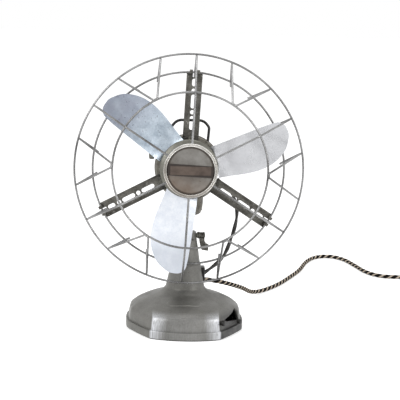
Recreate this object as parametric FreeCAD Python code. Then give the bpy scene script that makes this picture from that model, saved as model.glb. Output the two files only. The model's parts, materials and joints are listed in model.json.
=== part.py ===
"""Oscillating desk fan of the 1930s: cast bell base, tilting neck, open wire guard and three leaf blades.

Millimetres. The origin is the centre of the base's underside on the column axis. The fan faces -Y, +Z is up
and +X is on the right of someone who stands in front of it. Everything above the tilt hinge is drawn upright in
carrier space, whose origin is the hinge. Everything about the fan's axis is drawn in fan space: X right, Y up,
Z forward along the shaft, with its origin where the shaft crosses the swivel axis.
"""
import FreeCAD, Part
import math
import os

V = FreeCAD.Vector
X_AXIS, Y_AXIS, Z_AXIS = V(1, 0, 0), V(0, 1, 0), V(0, 0, 1)

# ---- driving dimensions -------------------------------------------------------------------------------------
# base: plan of the plinth (one quarter of the octagon), then heights
FRONT_CORNER = (51.0, 84.0)
SIDE_CORNER = (84.0, 27.0)
FRONT_REACH = 95.0
SIDE_REACH = 86.0
FACET_BULGE = 1.5
PAD_THICK = 1.5
PLATE_THICK = 2.5
PLINTH_TOP = 12.5
WALL = 4.0
COLUMN_SEAM = 93.7
SEAM_R = 22.0
# level sections of the bell, outside and inside: height, side reach, roundness
BELL = [(12.5, 82.6, 0.0), (22.0, 81.6, 0.0), (30.0, 78.6, 0.06), (37.0, 71.5, 0.22), (43.0, 60.5, 0.45),
        (48.0, 47.0, 0.72), (52.5, 36.0, 0.95), (58.0, 29.6, 1.0)]
HOLLOW = [(0.0, 80.5, 0.0), (20.0, 77.5, 0.0), (30.0, 72.5, 0.1), (38.0, 60.0, 0.4), (44.0, 44.0, 0.8),
          (48.0, 28.0, 1.0), (54.0, 20.0, 1.0)]
PLATE_SCREWS = [(-72.0, 0.0), (72.0, 0.0), (0.0, -80.0), (0.0, 80.0)]
GLAND_Y = 7.0
GLAND_FACE_X = 28.9

# speed lever on the front right facet: pivot along and up the facet, reach, rest angle and travel
LEVER_PIVOT = (4.5, 24.0)
LEVER_REACH = 50.0
LEVER_REST_DEG = -8.5
LEVER_TRAVEL_DEG = 16.0
LEVER_PIN_R = 2.5

# tilt hinge, swivel and the rest attitude of the head
HINGE_HEIGHT = 136.0
FORK_TOP_R = 13.8
FORK_GAP = 14.0
TILT_BOLT_R = 3.0
TILT_BACK_DEG = 6.55
SWIVEL_TO_SHAFT = 98.65
POST_R = 7.5
POST_TOP = 53.5
BOSS_BOTTOM = 30.0

# fan, measured along the shaft from the swivel axis (s) and from the shaft (r)
SWEEP_R = 152.4
BLADE_S = 50.0
BLADE_T = 1.3
BLADE_PHASE_DEG = 21.7
ROOT_FLAT_R = 31.0
PITCH_STATIONS = [(31, 0), (37, 5), (44, 16), (54, 24), (76, 27), (102, 26), (127, 24), (155, 21)]
RIVET_R = 1.6
RIVET_SPOTS = ((25.5, 0), (28.0, 22), (28.0, -26))
HUB_R = 42.0
SHAFT_R = 4.0
RUNNING_GAP = 0.04

# guard: rings as (r, s)
WIRE_D = 3.0
BACK_RING = (138.6, 23.3)
OUTER_RING = (163.4, 51.3)
FRONT_RING = (108.1, 111.3)
GUARD_CLOCK_DEG = 87.6
V_SPREAD_DEG = 11.6
CAP_R = 37.4
CAP_FACE_S = 130.0
BADGE_R = 32.3
BAND_TURN_DEG = -2.6
STRUT_SCREW_R = (37.5, 44.0)
STRUT_SCREW_BORE = 1.6
STRUT_WEB_S = (18.2, 19.9)
STRUT_W = 23.0
STRUT_FLANGE = 7.0
STRUT_INNER = 34.6
STRUT_OUTER = 140.0

# motor
MOTOR_R = 48.0
CORE_R = 44.2
TIE_BOLT_ANGLES = (30, 142, 207.6, 327.6)
TIE_BOLT_R = 1.9
TIE_LUG_R = 51.6
HANDLE_X = 1.7
HANDLE_S = 6.0
HANDLE_D = 4.0
FLEX_EXIT = (50.0, -22.0, -36.0)

# oscillating gear, on the left of the shaft: the worm drives a wheel, the wheel a crank, the crank a link
GEAR_S = -76.0
GEAR_X = -15.0
WORM_ROOT_R = 3.7
WORM_CREST_R = 4.9
WORM_TURNS = 6
WORM_PHASE_DEG = 0.0
WHEEL_TEETH = 30
WHEEL_PITCH_R = 10.7
WHEEL_FACE = 2.4
GEAR_SHAFT_R = 3.0
CRANK_THROW = 7.46
CRANK_H = -72.5
LINK_PIN_R = 2.0
ANCHOR_R = 13.0
LINK_SLOT_R = 3.9
LINK_SLOT_REACH = 5.6
COVER_SCREWS = (45, 135, 225, 315)
COVER_SCREW_R = 17.3
COVER_BORE_R = 1.25

# flex from the motor to the base, and the mains cord
MOTOR_CABLE_D = 6.0
MOTOR_CABLE_ROUTE = [(50.0, 44.4, 207.9), (61.5, 48.6, 201.0), (70.5, 50.8, 188.0), (76.0, 51.4, 171.5),
                     (76.6, 49.4, 154.5), (73.0, 44.2, 137.5), (67.4, 38.0, 121.5), (60.6, 29.5, 104.5),
                     (49.5, 20.5, 90.2), (28.4, 9.0, 77.6)]
CORD_D = 6.8
COIL_R = 36.0
COIL_CENTRE = (432.0, 366.0)
CORD_ROUTE = [(28.0, 7.0, 68.3), (39.5, 12.6, 65.6), (52.5, 23.0, 61.4), (67.5, 45.0, 53.2), (84.0, 82.0, 40.6),
              (98.0, 124.0, 26.6), (108.0, 162.0, 13.2), (122.0, 196.0, 4.6), (142.0, 222.0, 3.6),
              (166.0, 262.0, 3.6), (189.0, 315.0, 3.6), (212.0, 372.0, 3.6), (226.0, 430.0, 3.6),
              (246.0, 478.0, 3.6), (276.0, 494.0, 3.6), (301.0, 470.0, 3.6), (314.0, 420.0, 3.6),
              (325.0, 366.0, 3.6), (346.0, 334.0, 3.6), (378.0, 331.0, 3.6), (406.0, 330.0, 3.6)]
CORD_TAIL = [(466.0, 359.0, 8.0), (469.0, 372.0, 10.4), (468.4, 384.0, 13.2), (468.0, 396.0, 14.0)]


# ---- helpers ------------------------------------------------------------------------------------------------
def moved(shape, offset):
    """A copy of the shape, shifted by offset."""
    out = shape.copy()
    out.translate(offset)
    return out


def turned(shape, axis, degrees, centre=V(0, 0, 0)):
    """A copy of the shape, turned about an axis through centre."""
    out = shape.copy()
    out.rotate(centre, axis, degrees)
    return out


def cylinder(radius, start, end):
    """A cylinder between two points."""
    start, end = V(*start), V(*end)
    return Part.makeCylinder(radius, (end - start).Length, start, end - start)


def cone(r_start, r_end, start, end):
    """A frustum between two points."""
    start, end = V(*start), V(*end)
    return Part.makeCone(r_start, r_end, (end - start).Length, start, end - start)


def box(low, high):
    """An upright block between two corners."""
    size = [h - l for l, h in zip(low, high)]
    return Part.makeBox(*size, V(*low))


def lathe(profile):
    """A solid turned about Z from (radius, height) points."""
    points = [V(r, 0, z) for r, z in profile]
    face = Part.Face(Part.makePolygon(points + points[:1]))
    return face.revolve(V(0, 0, 0), Z_AXIS, 360)


def polar(radius, degrees, z=0.0):
    """The point at a radius and an angle about Z."""
    a = math.radians(degrees)
    return V(radius * math.cos(a), radius * math.sin(a), z)


def fan(shape):
    """Takes a shape from fan space to the row frame at rest."""
    out = turned(shape, X_AXIS, 90)
    out.translate(V(0, 0, SWIVEL_TO_SHAFT))
    return carrier(out)


def carrier(shape):
    """Takes a shape from carrier space to the row frame at rest."""
    out = turned(shape, X_AXIS, -TILT_BACK_DEG)
    out.translate(V(0, 0, HINGE_HEIGHT))
    return out


def rounded_path(points, radii):
    """Straight runs through the points, joined by tangent arcs of the given radii."""
    points = [V(*p) for p in points]
    edges, here = [], points[0]
    for before, corner, after, radius in zip(points, points[1:], points[2:], radii):
        into = (corner - before).normalize()
        out = (after - corner).normalize()
        half_turn = into.getAngle(out) / 2
        trim = radius * math.tan(half_turn)
        inward = (out - into).normalize()
        start, end = corner - into * trim, corner + out * trim
        middle = corner + inward * (radius / math.cos(half_turn) - radius)
        edges += [Part.LineSegment(here, start).toShape(), Part.Arc(start, middle, end).toShape()]
        here = end
    edges.append(Part.LineSegment(here, points[-1]).toShape())
    return Part.Wire(edges)


def pulled_corners(points, radii):
    """Moves each inner corner out along its bisector until its arc passes through the point itself."""
    wanted = [V(*p) for p in points]
    corners = list(wanted)
    for _ in range(12):
        moved_out = list(corners)
        for i, radius in enumerate(radii, start=1):
            into = (corners[i] - corners[i - 1]).normalize()
            out = (corners[i + 1] - corners[i]).normalize()
            half_turn = into.getAngle(out) / 2
            inward = (out - into).normalize()
            moved_out[i] = wanted[i] - inward * (radius / math.cos(half_turn) - radius)
        corners = moved_out
    return corners


def polygon_section(radius, sides, at, along):
    """A regular polygon face that stands across a path."""
    along = V(*along).normalize()
    side = along.cross(Z_AXIS if abs(along.z) < 0.9 else X_AXIS).normalize()
    up = along.cross(side)
    step = 2 * math.pi / sides
    ring = [at + side * (radius * math.cos(step * (i + 0.5))) + up * (radius * math.sin(step * (i + 0.5)))
            for i in range(sides)]
    return Part.Face(Part.makePolygon(ring + ring[:1]))


def rod(points, radii, diameter):
    """A bent wire: an eight-sided section, as wide as the round wire, along straight runs and arcs."""
    path = rounded_path(points, radii)
    points = [V(*p) for p in points]
    section = polygon_section(diameter / 2, 8, points[0], points[1] - points[0])
    return path.makePipe(section)


def round_rod(points, radii, diameter):
    """A bent round bar."""
    path = rounded_path(points, radii)
    points = [V(*p) for p in points]
    circle = Part.makeCircle(diameter / 2, points[0], points[1] - points[0])
    return path.makePipe(Part.Face(Part.Wire(circle)))


def ring(radius, s):
    """A guard ring in fan space."""
    section = polygon_section(WIRE_D / 2, 8, V(radius, 0, s), (0, 1, 0))
    return section.revolve(V(0, 0, 0), Z_AXIS, 360)


# ---- base ---------------------------------------------------------------------------------------------------
def plinth_corners():
    """The octagon's corners, counter-clockwise from the one at the front right."""
    (fx, fy), (sx, sy) = FRONT_CORNER, SIDE_CORNER
    right = [V(fx, -fy, 0), V(sx, -sy, 0), V(sx, sy, 0), V(fx, fy, 0)]
    return right + [V(-p.x, p.y, 0) for p in reversed(right)]


def facet_middle(index, corners):
    """The outermost point of a bowed facet."""
    a, b = corners[index], corners[(index + 1) % 8]
    middle = (a + b) * 0.5
    if index in (3, 7):
        return V(0, math.copysign(FRONT_REACH, middle.y), 0)
    if index in (1, 5):
        return V(math.copysign(SIDE_REACH, middle.x), 0, 0)
    return middle + V(middle.x, middle.y, 0).normalize() * FACET_BULGE


def base_section(z, reach, roundness):
    """A level section: the octagon scaled to a side reach, melted towards a circle as roundness nears 1."""
    corners = plinth_corners()
    scale = reach / SIDE_REACH

    def melt(point):
        circle = V(point).normalize() * reach
        flat = point * scale
        at = flat * (1 - roundness) + circle * roundness
        return V(at.x, at.y, z)

    arcs = []
    for i in range(8):
        start, end = melt(corners[i]), melt(corners[(i + 1) % 8])
        arcs.append(Part.Arc(start, melt(facet_middle(i, corners)), end).toShape())
    return Part.Wire(arcs)


def bell(stations):
    """A lofted bell through level sections."""
    return Part.makeLoft([base_section(*station) for station in stations], True, False)


def lever_facet(shape):
    """Sets a shape, drawn with X along the lever's facet, Y up and Z outward, on the front right facet."""
    scale = 82.0 / SIDE_REACH
    a = V(FRONT_CORNER[0], -FRONT_CORNER[1], 0) * scale
    b = V(SIDE_CORNER[0], -SIDE_CORNER[1], 0) * scale
    along = (b - a).normalize()
    outward = along.cross(Z_AXIS)
    out = shape.copy()
    facet = FreeCAD.Placement(a, FreeCAD.Rotation(along, Z_AXIS, outward, "XYZ"))
    out.Placement = facet.multiply(out.Placement)
    return out


def sector(reach, low_deg, high_deg, depth_low, depth_high, nose):
    """A sector about the lever's pivot, with a round nose at the pivot."""
    px, py = LEVER_PIVOT
    low, high = math.radians(low_deg), math.radians(high_deg)
    middle = (low + high) / 2

    def at(r, angle):
        return V(px + r * math.cos(angle), py + r * math.sin(angle), depth_low)

    a, b = at(nose, low), at(reach, low)
    c, d = at(reach, high), at(nose, high)
    wire = Part.Wire([Part.LineSegment(a, b).toShape(), Part.Arc(b, at(reach, middle), c).toShape(),
                      Part.LineSegment(c, d).toShape(), Part.LineSegment(d, a).toShape()])
    return Part.Face(wire).extrude(V(0, 0, depth_high - depth_low))


def base_casting():
    """The bell: an octagonal plinth that melts into a round column, hollow from below."""
    plinth = Part.Face(base_section(PAD_THICK, SIDE_REACH, 0)).extrude(V(0, 0, PLINTH_TOP - PAD_THICK))
    inside_plinth = Part.Face(base_section(0, SIDE_REACH - WALL, 0)).extrude(V(0, 0, PAD_THICK + PLATE_THICK))
    shoulder_r = BELL[-1][1]
    column = lathe([(0, 57.0), (shoulder_r - 0.6, 57.0), (28.2, 62.0), (26.4, 70.0), (24.4, 80.0),
                    (SEAM_R, COLUMN_SEAM), (0, COLUMN_SEAM)])
    bore = lathe([(0, 50.0), (19.0, 50.0), (17.5, 80.0), (16.5, COLUMN_SEAM), (0, COLUMN_SEAM)])
    solid = plinth.fuse([bell(BELL), column])
    solid = solid.cut([inside_plinth, bell(HOLLOW), bore])
    bosses = [cylinder(5.5, (x, y, 4.0), (x, y, 32.0)) for x, y in PLATE_SCREWS]
    solid = solid.fuse(bosses)
    highest = LEVER_REST_DEG + LEVER_TRAVEL_DEG
    slot = lever_facet(sector(LEVER_REACH + 5, LEVER_REST_DEG - 3, highest + 3, -16, 8, 9))
    px, py = LEVER_PIVOT
    pivot_hole = lever_facet(cylinder(LEVER_PIN_R + RUNNING_GAP, (px, py, -16), (px, py, 8)))
    screw_holes = [cylinder(1.8, (x, y, 0), (x, y, 20.0)) for x, y in PLATE_SCREWS]
    gland_hole = cylinder(4.0, (10, GLAND_Y, 70), (40, GLAND_Y, 70))
    return solid.cut([slot, pivot_hole, gland_hole] + screw_holes).removeSplitter()


def base_bottom_plate():
    """Sheet plate that closes the bell from below."""
    plate = Part.Face(base_section(PAD_THICK, SIDE_REACH - WALL - 0.3, 0)).extrude(V(0, 0, PLATE_THICK))
    return plate.cut([cylinder(2.0, (x, y, 0), (x, y, 6)) for x, y in PLATE_SCREWS])


def base_felt_pad():
    """Felt under the whole base, holed for the plate's screws."""
    return Part.Face(base_section(0, SIDE_REACH - 2.5, 0)).extrude(V(0, 0, PAD_THICK)).cut(
        [cylinder(4.5, (x, y, -1), (x, y, 2)) for x, y in PLATE_SCREWS])


def base_plate_screws():
    """Cheese-head screws, one solid each, that stand in the pad's holes."""
    head = cylinder(3.6, (0, 0, 0.3), (0, 0, PAD_THICK)).cut(box((-4, -0.5, 0.2), (4, 0.5, 0.9)))
    screw = head.fuse(cylinder(1.7, (0, 0, PAD_THICK), (0, 0, 14.0)))
    return Part.makeCompound([moved(screw, V(x, y, 0)) for x, y in PLATE_SCREWS])


def speed_resistor():
    """A wire-wound ceramic former that stands on the bottom plate."""
    core = cylinder(9.0, (-46, 34, 16.0), (16, 34, 16.0))
    for i in range(9):
        x = -40 + i * 6.2
        core = core.fuse(cylinder(10.2, (x, 34, 16.0), (x + 3.0, 34, 16.0)))
    feet = [box((x, 29, 4.0), (x + 4, 39, 12.0)) for x in (-46, 12)]
    return core.fuse(feet)


def switch_contact_block():
    """Fibre plate with a row of brass studs, on a foot behind the lever's slot."""
    plate = box((12, 6, -30), (56, 32, -26))
    foot = box((12, 4.0, -30), (56, 9.0, -20))
    block = plate.fuse(foot)
    px, py = LEVER_PIVOT
    for i in range(4):
        a = math.radians(LEVER_REST_DEG + LEVER_TRAVEL_DEG * i / 3)
        x, y = px + 40 * math.cos(a), py + 40 * math.sin(a)
        block = block.fuse(cylinder(1.6, (x, y, -26), (x, y, -24)))
    return lever_facet(block)


def lever_space(shape):
    """A lever part drawn flat along X from the pivot, set at its rest angle on the facet."""
    px, py = LEVER_PIVOT
    out = turned(shape, Z_AXIS, LEVER_REST_DEG)
    out.translate(V(px, py, 0))
    return lever_facet(out)


def speed_lever():
    """The lever outside, its pin through the facet and its arm inside."""
    bar = box((-3, -2.3, 2.2), (LEVER_REACH - 2, 2.3, 5.4))
    nose = cylinder(4.2, (0, 0, 2.2), (0, 0, 6.2))
    tip = cylinder(3.4, (LEVER_REACH - 4, 0, 2.2), (LEVER_REACH - 4, 0, 9.0))
    pin = cylinder(LEVER_PIN_R, (0, 0, -20), (0, 0, 2.2))
    arm = box((-3, -2.0, -20), (42, 2.0, -17))
    return lever_space(bar.fuse([nose, tip, pin, arm]))


def lever_wiper():
    """The brass spring that bears on the studs."""
    strip = box((30, -1.6, -21.0), (42, 1.6, -20.0))
    return lever_space(strip.fuse(cylinder(1.5, (40, 0, -23.6), (40, 0, -21.0))))


# ---- column -------------------------------------------------------------------------------------------------
def cord_gland():
    """The black block on the column's right side: the flex comes in at the top, the mains cord leaves below."""
    block = box((19, GLAND_Y - 8, 64.5), (GLAND_FACE_X, GLAND_Y + 8, 87.5))
    outer_edges = [e for e in block.Edges if all(v.X > GLAND_FACE_X - 0.01 for v in e.Vertexes)]
    block = block.makeFillet(2.4, outer_edges)
    column = lathe([(0, 50.0), (30.0, 50.0), (28.4, 62.0), (26.6, 70.0), (24.6, 80.0), (22.2, COLUMN_SEAM),
                    (22.2, 100), (0, 100)])
    spigot = cylinder(3.9, (20, GLAND_Y, 70), (27, GLAND_Y, 70))
    end, before = V(*MOTOR_CABLE_ROUTE[-1]), V(*MOTOR_CABLE_ROUTE[-2])
    inward = (end - before).normalize()
    flex_socket = cylinder(MOTOR_CABLE_D / 2 + 0.3, end - inward * 12, end + inward * 0.5)
    start, after = V(*CORD_ROUTE[0]), V(*CORD_ROUTE[1])
    outward = (after - start).normalize()
    cord_socket = cylinder(CORD_D / 2 + 0.3, start + outward * 0.2, start + outward * 12)
    return block.cut(column).fuse(spigot).cut([flex_socket, cord_socket]).removeSplitter()


def neck_fork():
    """The upper column, with two ears for the tilt bolt."""
    z = COLUMN_SEAM
    body = lathe([(0, z), (SEAM_R - 0.6, z), (SEAM_R - 0.6, z + 1.2), (20.8, z + 3), (17.4, 119), (15.6, 128),
                  (FORK_TOP_R, 141.5), (0, 141.5)])
    gap = box((-FORK_GAP / 2, -30, HINGE_HEIGHT - 11.5), (FORK_GAP / 2, 30, 150))
    trim = cylinder(11.5, (-30, 0, HINGE_HEIGHT), (30, 0, HINGE_HEIGHT))
    ears = body.cut(gap)
    low = ears.common(box((-40, -40, 80), (40, 40, HINGE_HEIGHT - 6)))
    high = ears.common(trim)
    hollow = cylinder(9.5, (0, 0, z - 1), (0, 0, 112))
    bolt_hole = cylinder(TILT_BOLT_R + RUNNING_GAP, (-30, 0, HINGE_HEIGHT), (30, 0, HINGE_HEIGHT))
    return low.fuse(high).cut([hollow, bolt_hole]).removeSplitter()


def tilt_knuckle():
    """The tongue between the ears, with the swivel post's socket on top."""
    half = FORK_GAP / 2 - 0.25
    tongue = cylinder(10.5, (-half, 0, 0), (half, 0, 0))
    socket = lathe([(0, 0), (6.4, 0), (6.4, 9), (8.8, 12), (9.6, 13.5), (9.6, 20), (0, 20)])
    bolt_hole = cylinder(TILT_BOLT_R + RUNNING_GAP, (-20, 0, 0), (20, 0, 0))
    post_seat = cylinder(6.0, (0, 0, 12), (0, 0, 21))
    return carrier(tongue.fuse(socket).cut([bolt_hole, post_seat]).removeSplitter())


def swivel_post():
    """The steel post that the head turns on, with the thrust collar that carries it."""
    return carrier(lathe([(0, 12), (6.0, 12), (6.0, 20), (6.5, 20), (6.5, BOSS_BOTTOM - 3.5),
                          (12.0, BOSS_BOTTOM - 3.5), (12.0, BOSS_BOTTOM - 0.1), (POST_R, BOSS_BOTTOM - 0.1),
                          (POST_R, POST_TOP), (0, POST_TOP)]))


def link_anchor_pin():
    """A collar on the post with the pin that the link's front eye turns on."""
    low, high = 20.0, 21.8
    arm = box((-ANCHOR_R, -3.6, low), (0, 3.6, high))
    arm = arm.fuse([cylinder(9.5, (0, 0, low), (0, 0, high)),
                    cylinder(3.6, (-ANCHOR_R, 0, low), (-ANCHOR_R, 0, high))])
    pin_top = SWIVEL_TO_SHAFT + CRANK_H - 0.2
    pin = cylinder(LINK_PIN_R, (-ANCHOR_R, 0, high), (-ANCHOR_R, 0, pin_top))
    return carrier(arm.cut(cylinder(6.5, (0, 0, 0), (0, 0, 60))).fuse(pin))


def tilt_bolt():
    """The cross bolt: it pinches the ears when the lock lever is turned."""
    h = HINGE_HEIGHT
    shank = cylinder(TILT_BOLT_R, (-17.5, 0, h), (27.6, 0, h))
    corners = [V(-19.8, 5.2 * math.cos(math.radians(60 * i)), h + 5.2 * math.sin(math.radians(60 * i)))
               for i in range(7)]
    head = Part.Face(Part.makePolygon(corners)).extrude(V(4.0, 0, 0))
    collar = cylinder(4.6, (15.3, 0, h), (16.8, 0, h))
    return shank.fuse([head, collar])


def lock_lever():
    """A boss on the bolt's end with a paddle that hangs from it and curls outward."""
    h = HINGE_HEIGHT
    boss = cylinder(4.4, (17.0, 0, h), (26.6, 0, h))
    rims = [cylinder(5.2, (x, 0, h), (x + 1.6, 0, h)) for x in (17.0, 25.0)]
    corners = [V(18.4, 0, h - 2), V(26.6, 0, h - 2), V(26.8, 0, h - 8), V(32.8, 0, h - 13.6), V(32.5, 0, h - 23),
               V(22.8, 0, h - 21.5)]
    outline = Part.Wire([Part.LineSegment(corners[0], corners[1]).toShape(),
                         Part.LineSegment(corners[1], corners[2]).toShape(),
                         Part.Arc(corners[2], V(28.6, 0, h - 11.3), corners[3]).toShape(),
                         Part.LineSegment(corners[3], corners[4]).toShape(),
                         Part.LineSegment(corners[4], corners[5]).toShape(),
                         Part.Arc(corners[5], V(19.8, 0, h - 12), corners[0]).toShape()])
    paddle = moved(Part.Face(outline).extrude(V(0, 5.0, 0)), V(0, -2.5, 0))
    solid = boss.fuse(rims + [paddle])
    return solid.cut(cylinder(TILT_BOLT_R, (15, 0, h), (31.0, 0, h))).removeSplitter()


# ---- motor --------------------------------------------------------------------------------------------------
def motor_front_housing():
    """Front half of the cast motor case, with the swivel boss below it."""
    outer = lathe([(0, -14), (MOTOR_R, -14), (MOTOR_R, 13), (MOTOR_R - 2.0, 18.2), (34, 18.2), (32, 19.4), (26, 27),
                   (16, 32), (11, 35), (0, 35)])
    inner = lathe([(0, -15), (CORE_R, -15), (CORE_R, 12), (31, 13), (24, 22), (15, 25), (0, 25)])
    core_room = cylinder(CORE_R, (0, 0, -40), (0, 0, 12))
    bush_hole = cylinder(7.0, (0, 0, 20), (0, 0, 36))
    boss = swivel_boss().cut(core_room)
    post_length = POST_TOP - BOSS_BOTTOM + 1.4
    post_hole = turned(cylinder(POST_R + RUNNING_GAP, (0, 0, 0), (0, 0, post_length)), X_AXIS, -90)
    post_hole = moved(post_hole, V(0, BOSS_BOTTOM - SWIVEL_TO_SHAFT - 1, 0))
    solid = outer.cut(inner).fuse([boss] + tie_lugs(-14, -3)).cut([bush_hole, post_hole, core_room])
    screw_holes = [cylinder(STRUT_SCREW_BORE, polar(r, a, 10), polar(r, a, 19))
                   for a in strut_angles() for r in STRUT_SCREW_R]
    return fan(solid.cut(screw_holes).removeSplitter()).cut(carry_handle())


def swivel_boss():
    """The round-bottomed boss under the motor that the post runs up into (fan space, its axis along Y)."""
    top, bottom = -30.0, BOSS_BOTTOM - SWIVEL_TO_SHAFT
    upright = lathe([(0, bottom), (15.0, bottom), (19.4, bottom + 2.5), (22.0, bottom + 8), (23.0, bottom + 18),
                     (23.4, top), (0, top)])
    return turned(upright, X_AXIS, -90)


def motor_rear_housing():
    """Rear half of the case: it closes on the front half and carries the rear bearing."""
    outer = lathe([(0, -56), (24, -56), (36, -53), (44, -46), (MOTOR_R, -36), (MOTOR_R, -18), (MOTOR_R + 1.2, -16.6),
                   (MOTOR_R + 1.2, -14), (0, -14)])
    inner = lathe([(0, -51), (22, -51), (34, -48), (41, -42), (CORE_R, -34), (CORE_R, -13), (0, -13)])
    bush_hole = cylinder(6.5, (0, 0, -60), (0, 0, -40))
    boss_room = cylinder(23.7, (0, -75, 0), (0, -30, 0))
    flex_hole = cylinder(4.0, (36, FLEX_EXIT[1], FLEX_EXIT[2]), FLEX_EXIT)
    solid = outer.cut([inner, bush_hole, boss_room, flex_hole])
    return fan(solid.fuse(tie_lugs(-25, -14)).removeSplitter())


def stator_core():
    """Laminated ring that the case clamps."""
    ring_solid = lathe([(26.8, -34), (44.0, -34), (44.0, 0), (26.8, 0)])
    slots = [turned(box((24, -3, -35), (37, 3, 1)), Z_AXIS, a) for a in range(22, 382, 45)]
    return fan(ring_solid.cut(slots))


def stator_windings():
    """Bound end turns on both faces of the core, one solid each."""
    front = lathe([(28.5, 0), (41.0, 0), (42.0, 3), (40.0, 9), (34, 11), (29.0, 8)])
    rear = lathe([(28.5, -34), (29.0, -40), (33, -44), (38.5, -40), (40.0, -37), (40.0, -34)])
    return fan(Part.makeCompound([front, rear]))


def front_bearing_bush():
    """Flanged bronze bush in the front half of the case."""
    bore = SHAFT_R + RUNNING_GAP
    return fan(lathe([(bore, 20), (7.0, 20), (7.0, 35), (9.5, 35), (9.5, 37), (bore, 37)]))


def rear_bearing_bush():
    """Flanged bronze bush in the rear half of the case."""
    bore = SHAFT_R + RUNNING_GAP
    return fan(lathe([(bore, -58), (6.5, -58), (6.5, -45), (9.0, -45), (9.0, -43), (bore, -43)]))


def motor_tie_bolts():
    """Hex-headed bolts in lugs on the side of the case, which pull its two halves together."""
    hexagon = [polar(3.6, 60 * i) for i in range(7)]
    head = Part.Face(Part.makePolygon(hexagon)).extrude(V(0, 0, 3))
    bolt = head.fuse(cylinder(TIE_BOLT_R, (0, 0, -24), (0, 0, 0)))
    return fan(Part.makeCompound([moved(bolt, polar(TIE_LUG_R, a, -3)) for a in TIE_BOLT_ANGLES]))


def tie_lugs(low, high):
    """Lugs for the tie bolts on one half of the case (fan space)."""
    lugs = []
    for a in TIE_BOLT_ANGLES:
        eye = cylinder(4.4, polar(TIE_LUG_R, a, low), polar(TIE_LUG_R, a, high))
        web = turned(box((MOTOR_R - 2.5, -4.4, low), (TIE_LUG_R, 4.4, high)), Z_AXIS, a)
        hole = cylinder(TIE_BOLT_R, polar(TIE_LUG_R, a, low - 1), polar(TIE_LUG_R, a, high + 1))
        lugs.append(eye.fuse(web).cut(hole))
    return lugs


def rotor_shaft():
    """The motor's shaft, necked behind for the worm and the gearbox."""
    return fan(lathe([(0, -94), (3.0, -94), (3.0, -62), (SHAFT_R, -60), (SHAFT_R, 63.0), (0, 63.0)]))


def rotor_core():
    """Squirrel-cage core pressed on the shaft."""
    return fan(lathe([(SHAFT_R, -38), (9, -38), (9, -34), (26.0, -34), (26.0, 0), (9, 0), (9, 5), (SHAFT_R, 5)]))


# ---- gearbox ------------------------------------------------------------------------------------------------
def crank_axis(shape):
    """Sets a shape, drawn upright about Z at the shaft's height, on the vertical gear axis (fan space)."""
    out = turned(shape, X_AXIS, -90)
    out.translate(V(GEAR_X, 0, GEAR_S))
    return out


def gearbox_housing():
    """Cast case behind the motor: a barrel round the worm, and an upright barrel that drops to the crank."""
    barrel = cylinder(11.9, (0, 0, -97), (0, 0, -57.5))
    upright = crank_axis(lathe([(0, -60), (10, -60), (12, -52), (13, -20), (19.5, -12), (19.5, 12), (0, 12)]))
    flange = lathe([(0, -60), (23.5, -60), (23.5, -56), (0, -56)])
    cavity = crank_axis(cylinder(16.0, (0, 0, -8), (0, 0, 13)))
    worm_room = cylinder(7.0, (0, 0, -95), (0, 0, -62))
    shaft_bore = cylinder(7.5, (0, 0, -63), (0, 0, -55))
    crank_bore = crank_axis(cylinder(GEAR_SHAFT_R + RUNNING_GAP, (0, 0, -61), (0, 0, -7)))
    lid_seat = crank_axis(cylinder(19.7, (0, 0, 12), (0, 0, 40)))
    solid = barrel.fuse([upright, flange]).cut([cavity, worm_room, shaft_bore, crank_bore, lid_seat])
    bush_bore = GEAR_SHAFT_R + RUNNING_GAP
    back_bush = lathe([(bush_bore, -95), (7.0, -95), (7.0, -91), (bush_bore, -91)])
    threads = [crank_axis(cylinder(COVER_BORE_R, polar(COVER_SCREW_R, a, 6), polar(COVER_SCREW_R, a, 13)))
               for a in COVER_SCREWS]
    return fan(solid.fuse(back_bush).cut(threads).removeSplitter())


def gearbox_cover():
    """Lid with a collar that guides the clutch knob."""
    lid = lathe([(4.5 + RUNNING_GAP, 12), (19.5, 12), (19.5, 14.0), (14.8, 14.0), (13.6, 15.6), (9, 16.6), (8, 21),
                 (4.5 + RUNNING_GAP, 21)])
    holes = [cylinder(COVER_BORE_R, polar(COVER_SCREW_R, a, 10), polar(COVER_SCREW_R, a, 20))
             for a in COVER_SCREWS]
    return fan(crank_axis(lid.cut(holes)))


def cover_screws():
    """Four slotted screws in the lid, one solid each."""
    screw = cylinder(2.1, (0, 0, 14.0), (0, 0, 15.5)).cut(box((-3, -0.3, 14.9), (3, 0.3, 16)))
    screw = screw.fuse(cylinder(COVER_BORE_R, (0, 0, 6.5), (0, 0, 14.0)))
    return fan(crank_axis(Part.makeCompound([moved(screw, polar(COVER_SCREW_R, a)) for a in COVER_SCREWS])))


def clutch_knob():
    """Pull knob on the gearbox's lid: raised, it frees the head from the gear."""
    knob = lathe([(0, 9.5), (4.5, 9.5), (4.5, 23), (8.0, 23), (9.0, 25), (9.0, 31), (7.5, 33.5), (3, 34.5), (0, 34.5)])
    grips = [cylinder(1.0, polar(9.4, a, 22), polar(9.4, a, 36)) for a in range(0, 360, 30)]
    return fan(crank_axis(knob.cut(grips)))


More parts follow.
